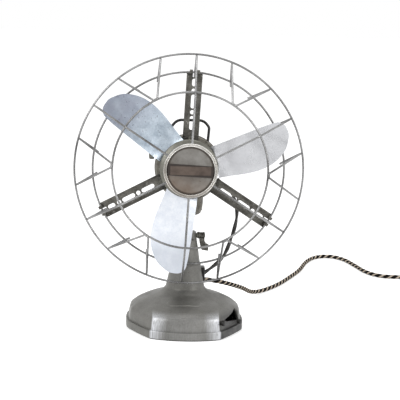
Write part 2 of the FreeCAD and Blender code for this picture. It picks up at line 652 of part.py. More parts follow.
def worm():
    """Single-start worm: a helical thread on a sleeve, its groove centred on the wheel's middle tooth."""
    lead = 2 * math.pi * WHEEL_PITCH_R / WHEEL_TEETH
    half = lead * WORM_TURNS / 2
    low = GEAR_S - half
    helix = Part.makeHelix(lead, 2 * half, WORM_ROOT_R)
    root, crest = lead * 0.27, lead * 0.15
    inner, outer = WORM_ROOT_R - 0.3, WORM_CREST_R
    profile = Part.makePolygon([V(inner, 0, -root), V(outer, 0, -crest), V(outer, 0, crest), V(inner, 0, root),
                                V(inner, 0, -root)])
    thread = Part.Wire(helix.Edges).makePipeShell([profile], True, True)
    thread = moved(turned(thread, Z_AXIS, WORM_PHASE_DEG), V(0, 0, low))
    top = low + 2 * half + 1.5
    sleeve = lathe([(GEAR_SHAFT_R, low - 1.5), (WORM_ROOT_R, low - 1.5), (WORM_ROOT_R, top), (GEAR_SHAFT_R, top)])
    return fan(sleeve.fuse(thread))


def worm_wheel():
    """Fibre wheel on the crank's shaft, its teeth against the worm."""
    backlash = 0.35
    tip = abs(GEAR_X) - WORM_ROOT_R - backlash
    root = abs(GEAR_X) - WORM_CREST_R - backlash
    points = []
    step = 360.0 / WHEEL_TEETH
    for i in range(WHEEL_TEETH):
        a = step * i
        points += [polar(root, a - 0.27 * step), polar(tip, a - 0.12 * step), polar(tip, a + 0.12 * step),
                   polar(root, a + 0.27 * step)]
    wheel = Part.Face(Part.makePolygon(points + points[:1])).extrude(V(0, 0, WHEEL_FACE))
    wheel = moved(wheel, V(0, 0, -WHEEL_FACE / 2))
    hub = cylinder(6.0, (0, 0, -6.5), (0, 0, 6.0))
    bore = cylinder(GEAR_SHAFT_R + RUNNING_GAP, (0, 0, -8), (0, 0, 8))
    return fan(crank_axis(wheel.fuse(hub).cut(bore)))


def crank_disc():
    """Upright crankshaft with its disc and pin below the gearbox."""
    shaft = cylinder(GEAR_SHAFT_R, (0, 0, CRANK_H + 3), (0, 0, 8.5))
    disc = cylinder(11.5, (0, 0, CRANK_H + 1), (0, 0, CRANK_H + 5))
    pin = cylinder(LINK_PIN_R, (-CRANK_THROW, 0, CRANK_H - 5), (-CRANK_THROW, 0, CRANK_H + 1))
    return fan(crank_axis(shaft.fuse([disc, pin])))


def link_arm():
    """Flat link from the anchor to the crank: a close eye in front, a slotted eye behind."""
    low, high = CRANK_H - 4.0, CRANK_H - 1.2
    front = V(-ANCHOR_R, 0, 0)
    rear = V(GEAR_X - CRANK_THROW, 0, GEAR_S)
    arm_half, slot_rim = 3.0, LINK_SLOT_R + 2.0

    def on_level(x, s, y):
        return (x, y, s)

    def slotted(radius, bottom, top):
        ends = [cylinder(radius, on_level(rear.x + dx, rear.z, bottom), on_level(rear.x + dx, rear.z, top))
                for dx in (0, LINK_SLOT_REACH)]
        bridge = box((rear.x, bottom, rear.z - radius), (rear.x + LINK_SLOT_REACH, top, rear.z + radius))
        return bridge.fuse(ends)

    along = front - rear
    bar = box((0, low, -arm_half), (along.Length, high, arm_half))
    bar = moved(turned(bar, Y_AXIS, -math.degrees(math.atan2(along.z, along.x))), rear)
    eye = cylinder(4.4, on_level(front.x, 0, low), on_level(front.x, 0, high))
    eye_bore = cylinder(LINK_PIN_R + RUNNING_GAP, on_level(front.x, 0, low - 1), on_level(front.x, 0, high + 1))
    arm = bar.fuse([eye, slotted(slot_rim, low, high)])
    return fan(arm.cut([eye_bore, slotted(LINK_SLOT_R, low - 1, high + 1)]).removeSplitter())


# ---- trim on the motor --------------------------------------------------------------------------------------
def carry_handle():
    """Black wire bail over the motor, its feet in two drilled lugs."""
    half = [(25.8, 38), (27.5, 59.5), (19.5, 69.5)]
    right = [(HANDLE_X + x, y, HANDLE_S) for x, y in half]
    left = [(HANDLE_X - x, y, HANDLE_S) for x, y in reversed(half)]
    return fan(round_rod(right + left, [7, 15, 15, 7], HANDLE_D))


def oil_cup():
    """Lidded oil cup at the left of the front bearing."""
    cup = lathe([(0, 0), (3.2, 0), (3.2, 3.0), (5.6, 4.0), (5.6, 9.5), (4.6, 11.0), (0, 11.5)])
    cup = turned(cup, Y_AXIS, -90)
    return fan(moved(cup, V(-46.5, 17, 8)))


# ---- guard --------------------------------------------------------------------------------------------------
def strut_angles():
    """The three struts stand under every second long wire."""
    return [GUARD_CLOCK_DEG + 120 * i for i in range(3)]


def slotted_hole(radius, length, width):
    """A round-ended hole in a strut's web, centred at a radius from the shaft."""
    low, high = STRUT_WEB_S[0] - 1, STRUT_WEB_S[1] + 1
    reach = (length - width) / 2
    ends = [cylinder(width / 2, (radius + e, 0, low), (radius + e, 0, high)) for e in (-reach, reach)]
    if reach < 0.01:
        return ends[0]
    return box((radius - reach, -width / 2, low), (radius + reach, width / 2, high)).fuse(ends)


def strut(angle):
    """A pressed channel, open to the front, pierced in turn by slots and round holes."""
    low, high = STRUT_WEB_S
    half = STRUT_W / 2
    web = box((STRUT_INNER, -half, low), (STRUT_OUTER, half, high))
    flange = box((46.5, half - 1.5, low), (STRUT_OUTER - 5, half, low + STRUT_FLANGE))
    solid = web.fuse([flange, flange.mirror(V(0, 0, 0), Y_AXIS)])
    lug_r, lug_s = BACK_RING
    wire = WIRE_D / 2
    for y in (-7.5, 3.0):
        tube = cylinder(wire + 2.2, (lug_r, y, lug_s), (lug_r, y + 4.5, lug_s))
        solid = solid.fuse(tube)
    solid = solid.cut(cylinder(wire + 0.2, (lug_r, -20, lug_s), (lug_r, 20, lug_s)))
    solid = solid.cut(box((lug_r - 7, -2.6, low - 1), (lug_r + 8, 2.6, high + 9)))
    holes = [slotted_hole(124.0, 11.0, 6.0), slotted_hole(112.0, 6.2, 6.2), slotted_hole(96.5, 20.0, 6.0),
             slotted_hole(81.0, 6.2, 6.2), slotted_hole(65.5, 20.0, 6.0)]
    holes += [cylinder(STRUT_SCREW_BORE, (r, 0, low - 1), (r, 0, high + 1)) for r in STRUT_SCREW_R]
    return fan(turned(solid.cut(holes).removeSplitter(), Z_AXIS, angle))


def strut_screws():
    """Two screws per strut, one solid each."""
    high = STRUT_WEB_S[1]
    screws = []
    for a in strut_angles():
        for r in STRUT_SCREW_R:
            head = cylinder(3.2, polar(r, a, high), polar(r, a, high + 2.2))
            slot = turned(box((r - 4, -0.4, high + 1.4), (r + 4, 0.4, high + 3)), Z_AXIS, a)
            screws.append(head.cut(slot).fuse(cylinder(1.55, polar(r, a, 12), polar(r, a, high))))
    return fan(Part.makeCompound(screws))


def wire_offset():
    """Distance between the centres of two crossed wires that are welded together."""
    return WIRE_D * 0.86


def long_wire(angle):
    """Cap to front ring to outer ring, then a hairpin back to the back ring, in one plane through the shaft."""
    front_r, front_s = FRONT_RING
    outer_r, outer_s = OUTER_RING
    back_r, back_s = BACK_RING
    w = wire_offset()
    plane = [(34.0, CAP_FACE_S - 10.0), (front_r - 2, front_s + w), (outer_r - w, outer_s + 1.5),
             (back_r - 1.0, back_s + w), (back_r - 7.0, back_s + w - 1.0)]
    return [polar(r, angle, s) for r, s in plane], [14.0, 6.0, 4.0]


def v_wire(angle):
    """From the back ring over the outer ring to an apex on the front ring and back again."""
    front_r, front_s = FRONT_RING
    outer_r, outer_s = OUTER_RING
    back_r, back_s = BACK_RING
    w = wire_offset()
    apex = polar(front_r + 1.0, angle, front_s + w)

    def leg(side):
        outer = polar(outer_r - w, angle + side * V_SPREAD_DEG, outer_s + 1.5)
        heading = V(outer.x - apex.x, outer.y - apex.y, 0).normalize()
        run = -outer.dot(heading) + math.sqrt(outer.dot(heading) ** 2 - V(outer.x, outer.y, 0).Length ** 2
                                              + (back_r - 1.0) ** 2)
        run_tail = run - 6.5
        back = V(outer.x, outer.y, 0) + heading * run
        tail = V(outer.x, outer.y, 0) + heading * run_tail
        return [outer, V(back.x, back.y, back_s + w), V(tail.x, tail.y, back_s + w - 1.0)]

    left, right = leg(1), leg(-1)
    return list(reversed(left)) + [apex] + right, [4.0, 6.0, 4.0, 6.0, 4.0]


def guard_wires(make, first_angle):
    """Six alike bent wires, one solid each."""
    wires = []
    for i in range(6):
        points, radii = make(first_angle + 60 * i)
        wires.append(rod(pulled_corners(points, radii), radii, WIRE_D))
    return fan(Part.makeCompound(wires))


def cap_cup():
    """Pressed cup in the middle of the guard that the long wires run into."""
    s = CAP_FACE_S
    return fan(lathe([(0, s - 18), (30, s - 18), (35.6, s - 14), (35.6, s - 6), (34.0, s - 6), (34.0, s - 13),
                      (29.5, s - 16.5), (0, s - 16.5)]))


def cap_bezel():
    """Plated double bead round the badge."""
    s = CAP_FACE_S
    return fan(lathe([(35.6, s - 8), (CAP_R, s - 6), (CAP_R, s - 2.5), (36.6, s - 0.8), (35.2, s - 1.2), (34.2, s),
                      (32.9, s - 0.4), (32.4, s - 2.2), (32.4, s - 4.0), (35.6, s - 4.0)]))


def badge_dome():
    """The badge's slightly domed shape (fan space)."""
    s = CAP_FACE_S
    return lathe([(0, s - 5.0), (BADGE_R, s - 5.0), (BADGE_R, s - 3.4), (24, s - 2.4), (12, s - 1.8), (0, s - 1.6)])


def badge_disc():
    """Domed disc in the bezel."""
    return fan(badge_dome())


def badge_band():
    """A plain raised band across the badge, where such fans carry a name."""
    s = CAP_FACE_S
    strip = box((-32.0, -8.0, s - 3.6), (32.0, 8.0, s - 0.6))
    strip = strip.common(cylinder(BADGE_R - 0.5, (0, 0, s - 8), (0, 0, s + 4)))
    return fan(turned(strip.cut(badge_dome()), Z_AXIS, BAND_TURN_DEG))


# ---- rotor and blades ---------------------------------------------------------------------------------------
def blade_outline():
    """The leaf seen from the front: root on the left, nearly straight upper edge, curved lower edge."""
    root, tip = 22.0, SWEEP_R - 1.0
    upper = [V(root, 18.0, 0), V(61, 19.2, 0), V(101.6, 19.9, 0), V(130, 19.9, 0), V(143.3, 17.9, 0),
             V(150, 10.7, 0), V(tip, 2.0, 0)]
    lower = [V(tip, 2.0, 0), V(150.6, -5.6, 0), V(141.7, -20.9, 0), V(129, -30.5, 0), V(113.8, -36.4, 0),
             V(96.5, -38.2, 0), V(76.2, -36.2, 0), V(52.8, -31.0, 0), V(root, -24.0, 0)]
    top, bottom = Part.BSplineCurve(), Part.BSplineCurve()
    top.interpolate(upper)
    bottom.interpolate(lower)
    return Part.Wire([top.toShape(), bottom.toShape(), Part.LineSegment(lower[-1], upper[0]).toShape()])


def blade():
    """A leaf cut from a twisted, slightly hollow sheet; drawn along X with its root flat against the hub."""
    sections = []
    for x, pitch in PITCH_STATIONS:
        reach, camber = 46.0, 3.2 * min(1.0, max(0.0, (x - 31) / 25.0))
        a = math.radians(pitch)

        def place(w, s):
            return V(x, w * math.cos(a) - s * math.sin(a), w * math.sin(a) + s * math.cos(a))

        t = BLADE_T / 2
        back = Part.Arc(place(-reach, -t), place(0, -t - camber - 0.01), place(reach, -t)).toShape()
        front = Part.Arc(place(reach, t), place(0, t - camber - 0.01), place(-reach, t)).toShape()
        ends = [Part.LineSegment(place(reach, -t), place(reach, t)).toShape(),
                Part.LineSegment(place(-reach, t), place(-reach, -t)).toShape()]
        sections.append(Part.Wire([back, ends[0], front, ends[1]]))
    sheet = Part.makeLoft(sections, True, False)
    prism = moved(Part.Face(blade_outline()).extrude(V(0, 0, 120)), V(0, 0, -60))
    holes = [turned(cylinder(RIVET_R, (r, 0, -5), (r, 0, 5)), Z_AXIS, a) for r, a in RIVET_SPOTS]
    root = box((20, -46, -BLADE_T / 2), (ROOT_FLAT_R, 46, BLADE_T / 2)).common(prism)
    return moved(sheet.common(prism).fuse(root).cut(holes), V(0, 0, BLADE_S))


def blade_at(index):
    """One of the three leaves, in its place on the hub."""
    return fan(turned(blade(), Z_AXIS, BLADE_PHASE_DEG + 120 * index))


def hub_core():
    """Boss and spider plate behind the blades' roots."""
    plate = BLADE_S - BLADE_T / 2
    boss = lathe([(SHAFT_R, plate - 12), (11, plate - 12), (12, plate - 3), (30.9, plate - 2.2), (30.9, plate),
                  (16, plate), (14, plate + 6), (SHAFT_R, plate + 6)])
    holes = [cylinder(RIVET_R, polar(r, a, plate - 5), polar(r, a, plate + 1)) for r, a in rivet_places()]
    return fan(boss.cut(holes))


def rivet_places():
    """Radius and angle of every rivet in the hub."""
    return [(r, BLADE_PHASE_DEG + 120 * i + a) for i in range(3) for r, a in RIVET_SPOTS]


def hub_cover():
    """Dished front plate over the blades' roots."""
    s = BLADE_S + 9.0
    return fan(lathe([(SHAFT_R, s + 1.0), (20, s + 0.6), (36, s - 1.2), (HUB_R - 1.5, s - 3.0), (HUB_R, s - 4.2),
                      (HUB_R, s - 5.4), (HUB_R - 1.4, s - 5.4), (HUB_R - 2.4, s - 4.4), (36, s - 2.6), (20, s - 0.8),
                      (SHAFT_R, s - 0.5)]))


def blade_rivets():
    """Three rivets per blade root, one solid each."""
    front = BLADE_S + BLADE_T / 2
    rivets = []
    for r, a in rivet_places():
        shank = cylinder(RIVET_R, polar(r, a, front - 3.6), polar(r, a, front))
        head = cone(2.8, 1.6, polar(r, a, front), polar(r, a, front + 1.4))
        rivets.append(shank.fuse(head))
    return fan(Part.makeCompound(rivets))


def hub_nut():
    """Domed nut on the shaft's end."""
    s = BLADE_S + 10.0
    return fan(lathe([(SHAFT_R, s), (9, s), (9, s + 3), (7, s + 6), (0, s + 8), (0, s + 3.0), (SHAFT_R, s + 3.0)]))


# ---- cables -------------------------------------------------------------------------------------------------
def free_radii(points):
    """Each arc as large as its two runs allow."""
    points = [V(*p) for p in points]
    radii = []
    for before, corner, after in zip(points, points[1:], points[2:]):
        into, out = corner - before, after - corner
        half_turn = into.getAngle(out) / 2
        radii.append(0.45 * min(into.Length, out.Length) / math.tan(half_turn))
    return radii


def cable(name, route, diameter):
    """A limp cable as a plain tube; prints its bends and its length."""
    radii = free_radii(route)
    path = rounded_path(route, radii)
    tube = round_rod(route, radii, diameter)
    ideal = math.pi * diameter ** 2 / 4 * path.Length
    print(name, "length", round(path.Length, 1), "volume share", round(tube.Volume / ideal, 4), "radii",
          [round(r, 1) for r in radii])
    return tube


def cable_grommet():
    """Rubber grommet where the flex leaves the motor's rear shell."""
    x, y, at = FLEX_EXIT
    neck = cylinder(3.9, (42.0, y, at), (x - 4.2, y, at))
    return fan(neck.fuse(cone(6.0, 4.0, (x - 4.2, y, at), FLEX_EXIT)))


def motor_cable():
    """Flex from the grommet on the motor to the gland on the column."""
    return cable("motor_cable", MOTOR_CABLE_ROUTE, MOTOR_CABLE_D)


def mains_cord():
    """The lead from the gland to the coil, and the short tail from the coil to the plug."""
    lead = cable("mains_cord", CORD_ROUTE, CORD_D)
    tail = cable("cord_tail", CORD_TAIL, CORD_D)
    return Part.makeCompound([lead, tail])


def cord_coil():
    """Outer shape of the wound spare length."""
    cx, cy = COIL_CENTRE
    low, high = COIL_R - 7.2, COIL_R + 7.2
    section = [(low, 3.4), (low + 3.4, 0.2), (high - 3.4, 0.2), (high, 3.4), (high, 10.4), (high - 3.4, 13.6),
               (low + 3.4, 13.6), (low, 10.4)]
    return moved(lathe(section), V(cx, cy, 0))


def plug_body():
    """Round two-pin plug lying on its side."""
    px, py, pz = CORD_TAIL[-1]
    body = lathe([(0, 0), (5.4, 0), (6.2, 7), (12.5, 11), (14.0, 14), (14.0, 31), (12.5, 33), (0, 33)])
    grips = [cylinder(1.3, polar(14.6, a, 15), polar(14.6, a, 30)) for a in range(0, 360, 30)]
    return moved(turned(body.cut(grips), X_AXIS, -90), V(px, py, pz))


def plug_pins():
    """Two round brass pins."""
    px, py, pz = CORD_TAIL[-1]
    pin = lathe([(0, 33), (2.0, 33), (2.0, 50), (1.0, 52), (0, 52)])
    pins = [moved(turned(pin, X_AXIS, -90), V(px + dx, py, pz)) for dx in (-9.5, 9.5)]
    return Part.makeCompound(pins)


# ---- export -------------------------------------------------------------------------------------------------
PIECES = {
    "base_casting": base_casting,
    "base_bottom_plate": base_bottom_plate,
    "base_felt_pad": base_felt_pad,
    "base_plate_screws": base_plate_screws,
    "speed_resistor": speed_resistor,
    "switch_contact_block": switch_contact_block,
    "speed_lever": speed_lever,
    "lever_wiper": lever_wiper,
    "cord_gland": cord_gland,
    "neck_fork": neck_fork,
    "tilt_knuckle": tilt_knuckle,
    "swivel_post": swivel_post,
    "link_anchor_pin": link_anchor_pin,
    "tilt_bolt": tilt_bolt,
    "lock_lever": lock_lever,
    "motor_front_housing": motor_front_housing,
    "motor_rear_housing": motor_rear_housing,
    "stator_core": stator_core,
    "stator_windings": stator_windings,
    "front_bearing_bush": front_bearing_bush,
    "rear_bearing_bush": rear_bearing_bush,
    "motor_tie_bolts": motor_tie_bolts,
    "rotor_shaft": rotor_shaft,
    "rotor_core": rotor_core,
    "gearbox_housing": gearbox_housing,
    "gearbox_cover": gearbox_cover,
    "cover_screws": cover_screws,
    "clutch_knob": clutch_knob,
    "worm": worm,
    "worm_wheel": worm_wheel,
    "crank_disc": crank_disc,
    "link_arm": link_arm,
    "carry_handle": carry_handle,
    "oil_cup": oil_cup,
    "strut_top": lambda: strut(strut_angles()[0]),
    "strut_lower_left": lambda: strut(strut_angles()[1]),
    "strut_lower_right": lambda: strut(strut_angles()[2]),
    "strut_screws": strut_screws,
    "guard_back_ring": lambda: fan(ring(*BACK_RING)),
    "guard_outer_ring": lambda: fan(ring(*OUTER_RING)),
    "guard_front_ring": lambda: fan(ring(*FRONT_RING)),
    "guard_long_wires": lambda: guard_wires(long_wire, GUARD_CLOCK_DEG),
    "guard_v_wires": lambda: guard_wires(v_wire, GUARD_CLOCK_DEG + 30),
    "cap_cup": cap_cup,
    "cap_bezel": cap_bezel,
    "badge_disc": badge_disc,
    "badge_band": badge_band,
    "hub_core": hub_core,
    "hub_cover": hub_cover,
    "blade_1": lambda: blade_at(0),
    "blade_2": lambda: blade_at(1),
    "blade_3": lambda: blade_at(2),
    "blade_rivets": blade_rivets,
    "hub_nut": hub_nut,
    "cable_grommet": cable_grommet,
    "motor_cable": motor_cable,
    "mains_cord": mains_cord,
    "cord_coil": cord_coil,
    "plug_body": plug_body,
    "plug_pins": plug_pins,
}

os.makedirs("parts", exist_ok=True)
for node, make in PIECES.items():
    shape = make()
    print(node, "solids", len(shape.Solids), "valid", shape.isValid(), "volume", round(shape.Volume, 1))
    shape.exportStep(os.path.join("parts", node + ".step"))
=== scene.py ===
"""Looks of the oscillating desk fan, in the frame of its CAD model: facing -Y, with +Z up.

Points, profiles and routes are in millimetres, and build() turns them into metres. The camera,
the floor, the lights and the places inside the materials are in metres.
"""
import json
import math
import bpy
import bmesh
from mathutils import Matrix, Vector
from mathutils.bvhtree import BVHTree


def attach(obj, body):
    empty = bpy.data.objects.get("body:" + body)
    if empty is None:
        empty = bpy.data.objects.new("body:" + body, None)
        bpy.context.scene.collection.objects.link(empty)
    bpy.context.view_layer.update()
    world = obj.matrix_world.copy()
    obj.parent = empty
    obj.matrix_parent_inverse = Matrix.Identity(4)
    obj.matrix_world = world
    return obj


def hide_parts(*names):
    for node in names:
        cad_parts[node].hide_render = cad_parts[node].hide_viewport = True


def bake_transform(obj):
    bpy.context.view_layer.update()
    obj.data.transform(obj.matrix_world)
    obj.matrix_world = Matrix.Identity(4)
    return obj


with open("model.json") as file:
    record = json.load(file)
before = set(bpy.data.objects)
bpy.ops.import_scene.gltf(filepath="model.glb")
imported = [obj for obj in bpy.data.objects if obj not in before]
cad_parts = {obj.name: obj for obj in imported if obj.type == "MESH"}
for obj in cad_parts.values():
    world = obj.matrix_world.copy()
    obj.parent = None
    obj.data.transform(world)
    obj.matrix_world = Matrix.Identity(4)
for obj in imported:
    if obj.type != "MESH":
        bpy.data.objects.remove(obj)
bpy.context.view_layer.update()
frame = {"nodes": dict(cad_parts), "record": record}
MM = 0.001
HERE = Matrix.Identity(4)
BODY_OF = {node: body for body, nodes in frame["record"]["behaviour"]["bodies"].items()
           for node in nodes}
SLOT_OF = {row["node"]: row["material_slot"] for row in frame["record"]["subparts"]}


def turn(degrees, axis):
    """A rotation about an axis."""
    return Matrix.Rotation(math.radians(degrees), 4, axis)


def linked(thing):
    """The object, put in the scene."""
    bpy.context.scene.collection.objects.link(thing)
    return thing


# ---- placement of the head, as in the CAD model --------------------------------------------
# The fan's own frame has X to the right, Y up and Z along the shaft towards the viewer.
HINGE_HEIGHT = 136.0
TILT_BACK = -6.55
SWIVEL_TO_SHAFT = 98.65
FAN = (Matrix.Translation((0, 0, HINGE_HEIGHT)) @ turn(TILT_BACK, "X")
       @ Matrix.Translation((0, 0, SWIVEL_TO_SHAFT)) @ turn(90, "X"))

# ---- camera, fitted to the photograph ------------------------------------------------------
PHOTO_WIDTH = 400.0
FOCAL_PIXELS = 1389.0
EYE = (-0.0584, -1.9992, 0.536)
EYE_HEADING, EYE_PITCH, EYE_ROLL = -2.2, 80.14, 1.71


def make_camera():
    data = bpy.data.cameras.new("camera")
    data.sensor_width = 36.0
    data.lens = 36.0 * FOCAL_PIXELS / PHOTO_WIDTH
    data.clip_end = 50.0
    eye = linked(bpy.data.objects.new("camera", data))
    eye.matrix_world = (Matrix.Translation(EYE) @ turn(EYE_HEADING, "Z")
                        @ turn(EYE_PITCH, "X") @ turn(EYE_ROLL, "Z"))
    bpy.context.scene.camera = eye


make_camera()


# ---- mesh helpers --------------------------------------------------------------------------
def build(name, verts, faces, body, slot, materials, matrix=HERE, angle=35.0, uvs=None,
          face_materials=None):
    """A piece from points in millimetres, placed by matrix, smooth up to the given edge angle."""
    mesh = bpy.data.meshes.new(name)
    mesh.from_pydata([matrix @ Vector(v) * MM for v in verts], [], faces)
    if uvs is not None:
        layer = mesh.uv_layers.new(name="UVMap")
        for loop in mesh.loops:
            layer.data[loop.index].uv = uvs[loop.vertex_index]
    for material in materials:
        mesh.materials.append(material)
    if face_materials is not None:
        mesh.polygons.foreach_set("material_index", face_materials)
    work = bmesh.new()
    work.from_mesh(mesh)
    bmesh.ops.recalc_face_normals(work, faces=work.faces)
    work.to_mesh(mesh)
    work.free()
    mesh.set_sharp_from_angle(angle=math.radians(angle))
    piece = linked(bpy.data.objects.new(name, mesh))
    if body is not None:
        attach(piece, body)
    return piece


def polar(radius, degrees, z=0.0):
    """The point at a radius and an angle about Z."""
    a = math.radians(degrees)
    return Vector((radius * math.cos(a), radius * math.sin(a), z))


def turned(profile, segments):
    """Points and faces of a closed profile of (radius, height) turned about Z."""
    verts, faces, n = [], [], len(profile)
    for i in range(segments):
        a = 2 * math.pi * i / segments
        verts += [(r * math.cos(a), r * math.sin(a), z) for r, z in profile]
    for i in range(segments):
        j = (i + 1) % segments
        for k in range(n):
            m = (k + 1) % n
            if profile[k][0] < 1e-6 and profile[m][0] < 1e-6:
                continue
            faces.append((i * n + k, j * n + k, j * n + m, i * n + m))
    return verts, faces


def ring_faces(rings, around, closed=False):
    """Faces between rings of points, each with as many points around."""
    faces = []
    for i in range(rings if closed else rings - 1):
        j = (i + 1) % rings
        for k in range(around):
            m = (k + 1) % around
            faces.append((i * around + k, i * around + m, j * around + m, j * around + k))
    return faces


def end_caps(rings, around):
    """The faces that close the first and the last of such rings."""
    return [tuple(reversed(range(around))), tuple(range((rings - 1) * around, rings * around))]


def sheet_faces(rows, columns):
    """Faces of a thin sheet: a grid of points, a second one behind it, and the rim between."""
    size, faces = rows * columns, []
    for i in range(rows - 1):
        for j in range(columns - 1):
            a = i * columns + j
            b = a + columns
            faces += [(a, a + 1, b + 1, b), (size + a, size + b, size + b + 1, size + a + 1)]
    rim = (list(range(columns)) + [i * columns + columns - 1 for i in range(1, rows)]
           + [(rows - 1) * columns + j for j in range(columns - 2, -1, -1)]
           + [i * columns for i in range(rows - 2, 0, -1)])
    return faces + [(a, b, size + b, size + a) for a, b in zip(rim, rim[1:] + rim[:1])]


def merged(parts):
    """Several (points, faces) as one."""
    verts, faces = [], []
    for v, f in parts:
        base = len(verts)
        verts += list(v)
        faces += [tuple(base + i for i in face) for face in f]
    return verts, faces


def frames_along(points, closed=False):
    """Side and up directions that turn as little as possible along a line of points."""
    count = len(points)
    heading = []
    for i in range(count):
        a = points[i - 1] if closed or i > 0 else points[i]
        b = points[(i + 1) % count] if closed or i < count - 1 else points[i]
        heading.append((b - a).normalized())
    first = Vector((0, 0, 1)) if abs(heading[0].z) < 0.9 else Vector((1, 0, 0))
    side = heading[0].cross(first).normalized()
    sides = []
    for h in heading:
        side = (side - h * side.dot(h)).normalized()
        sides.append(side.copy())
    return [(s, h.cross(s)) for s, h in zip(sides, heading)]


def tube(points, radius, around, closed=False):
    """Points and faces of a round tube along a line of points."""
    verts = []
    for p, (side, up) in zip(points, frames_along(points, closed)):
        for k in range(around):
            a = 2 * math.pi * k / around
            verts.append(p + side * (radius * math.cos(a)) + up * (radius * math.sin(a)))
    faces = ring_faces(len(points), around, closed)
    if not closed:
        faces += end_caps(len(points), around)
    return verts, faces


def bent(points, radii, steps):
    """A line of points through straight runs and tangent arcs."""
    line = [points[0]]
    for before, corner, after, radius in zip(points, points[1:], points[2:], radii):
        into, out = (corner - before).normalized(), (after - corner).normalized()
        half = into.angle(out) / 2
        inward = (out - into).normalized()
        centre = corner + inward * (radius / math.cos(half))
        start = corner - into * (radius * math.tan(half))
        end = corner + out * (radius * math.tan(half))
        a, b = start - centre, end - centre
        for i in range(steps + 1):
            t = i / steps
            line.append(centre + (a * (1 - t) + b * t).normalized() * radius)
    line.append(points[-1])
    return line


def pulled(wanted, radii):
    """Corner points moved outwards until each arc passes through the point itself."""
    corners = list(wanted)
    for _ in range(12):
        moved = list(corners)
        for i, radius in enumerate(radii, start=1):
            into = (corners[i] - corners[i - 1]).normalized()
            out = (corners[i + 1] - corners[i]).normalized()
            half = into.angle(out) / 2
            gap = radius / math.cos(half) - radius
            moved[i] = wanted[i] - (out - into).normalized() * gap
        corners = moved
    return corners


def smooth_line(knots, steps):
    """A smooth open line through knots (rows of numbers), with a number of steps per span."""
    def at(p0, p1, p2, p3, t):
        return [0.5 * (2 * b + (c - a) * t + (2 * a - 5 * b + 4 * c - d) * t * t
                       + (3 * b - a - 3 * c + d) * t ** 3)
                for a, b, c, d in zip(p0, p1, p2, p3)]
    padded = [knots[0]] + list(knots) + [knots[-1]]
    line = []
    for i in range(len(knots) - 1):
        for k in range(steps):
            line.append(at(*padded[i:i + 4], k / steps))
    line.append(list(knots[-1]))
    return line


# ---- materials -----------------------------------------------------------------------------
def shade(*eight_bit):
    """Linear colour from three 0-255 values."""
    return tuple((c / 255) ** 2.2 for c in eight_bit) + (1.0,)


class Graph:
    """A material's node tree with short calls."""

    def __init__(self, name):
        self.material = bpy.data.materials.new(name)
        self.material.use_nodes = True
        self.nodes = self.material.node_tree.nodes
        self.links = self.material.node_tree.links
        self.shader = self.nodes["Principled BSDF"]
        self.place = self.add("ShaderNodeTexCoord").outputs["Object"]

    def add(self, kind, **settings):
        node = self.nodes.new(kind)
        for key, value in settings.items():
            setattr(node, key, value)
        return node

    def put(self, socket, value):
        if hasattr(value, "links"):
            self.links.new(value, socket)
        else:
            socket.default_value = value

    def axes(self, source=None):
        """The X, Y and Z outputs of a place."""
        split = self.add("ShaderNodeSeparateXYZ")
        self.put(split.inputs[0], source or self.place)
        return split.outputs["X"], split.outputs["Y"], split.outputs["Z"]

    def reach(self, direction):
        """How far the place lies along a direction."""
        node = self.add("ShaderNodeVectorMath", operation="DOT_PRODUCT")
        self.put(node.inputs[0], self.place)
        node.inputs[1].default_value = direction
        return node.outputs["Value"]

    def scaled(self, factors):
        node = self.add("ShaderNodeMapping")
        self.put(node.inputs["Vector"], self.place)
        node.inputs["Scale"].default_value = factors
        return node.outputs["Vector"]

    def noise(self, scale, detail=3.0, rough=0.55, vector=None):
        node = self.add("ShaderNodeTexNoise")
        self.put(node.inputs["Vector"], vector or self.place)
        node.inputs["Scale"].default_value = scale
        node.inputs["Detail"].default_value = detail
        node.inputs["Roughness"].default_value = rough
        return node.outputs["Fac"]

    def math(self, operation, a, b=0.0, clamp=False):
        node = self.add("ShaderNodeMath", operation=operation, use_clamp=clamp)
        self.put(node.inputs[0], a)
        self.put(node.inputs[1], b)
        return node.outputs[0]

    def ramp(self, value, low, high, out_low=0.0, out_high=1.0):
        """The value's range from low to high, spread over out_low to out_high."""
        node = self.add("ShaderNodeMapRange")
        for key, number in (("Value", value), ("From Min", low), ("From Max", high),
                            ("To Min", out_low), ("To Max", out_high)):
            self.put(node.inputs[key], number)
        return node.outputs["Result"]

    def mix(self, factor, a, b):
        node = self.add("ShaderNodeMix", data_type="RGBA")
        self.put(node.inputs["Factor"], factor)
        self.put(node.inputs[6], a)
        self.put(node.inputs[7], b)
        return node.outputs[2]

    def bump(self, height, distance):
        node = self.add("ShaderNodeBump")
        self.put(node.inputs["Height"], height)
        node.inputs["Distance"].default_value = distance
        return node.outputs["Normal"]

    def finish(self, colour, rough, metal=0.0, normal=None, **sockets):
        self.put(self.shader.inputs["Base Color"], colour)
        self.put(self.shader.inputs["Roughness"], rough)
        self.shader.inputs["Metallic"].default_value = metal
        if normal is not None:
            self.put(self.shader.inputs["Normal"], normal)
        for key, value in sockets.items():
            self.shader.inputs[key.replace("_", " ")].default_value = value
        return self.material


SPOT_EDGE, SPOT_COVER, SPOT_DEPTH = 0.05, 0.8, 0.5


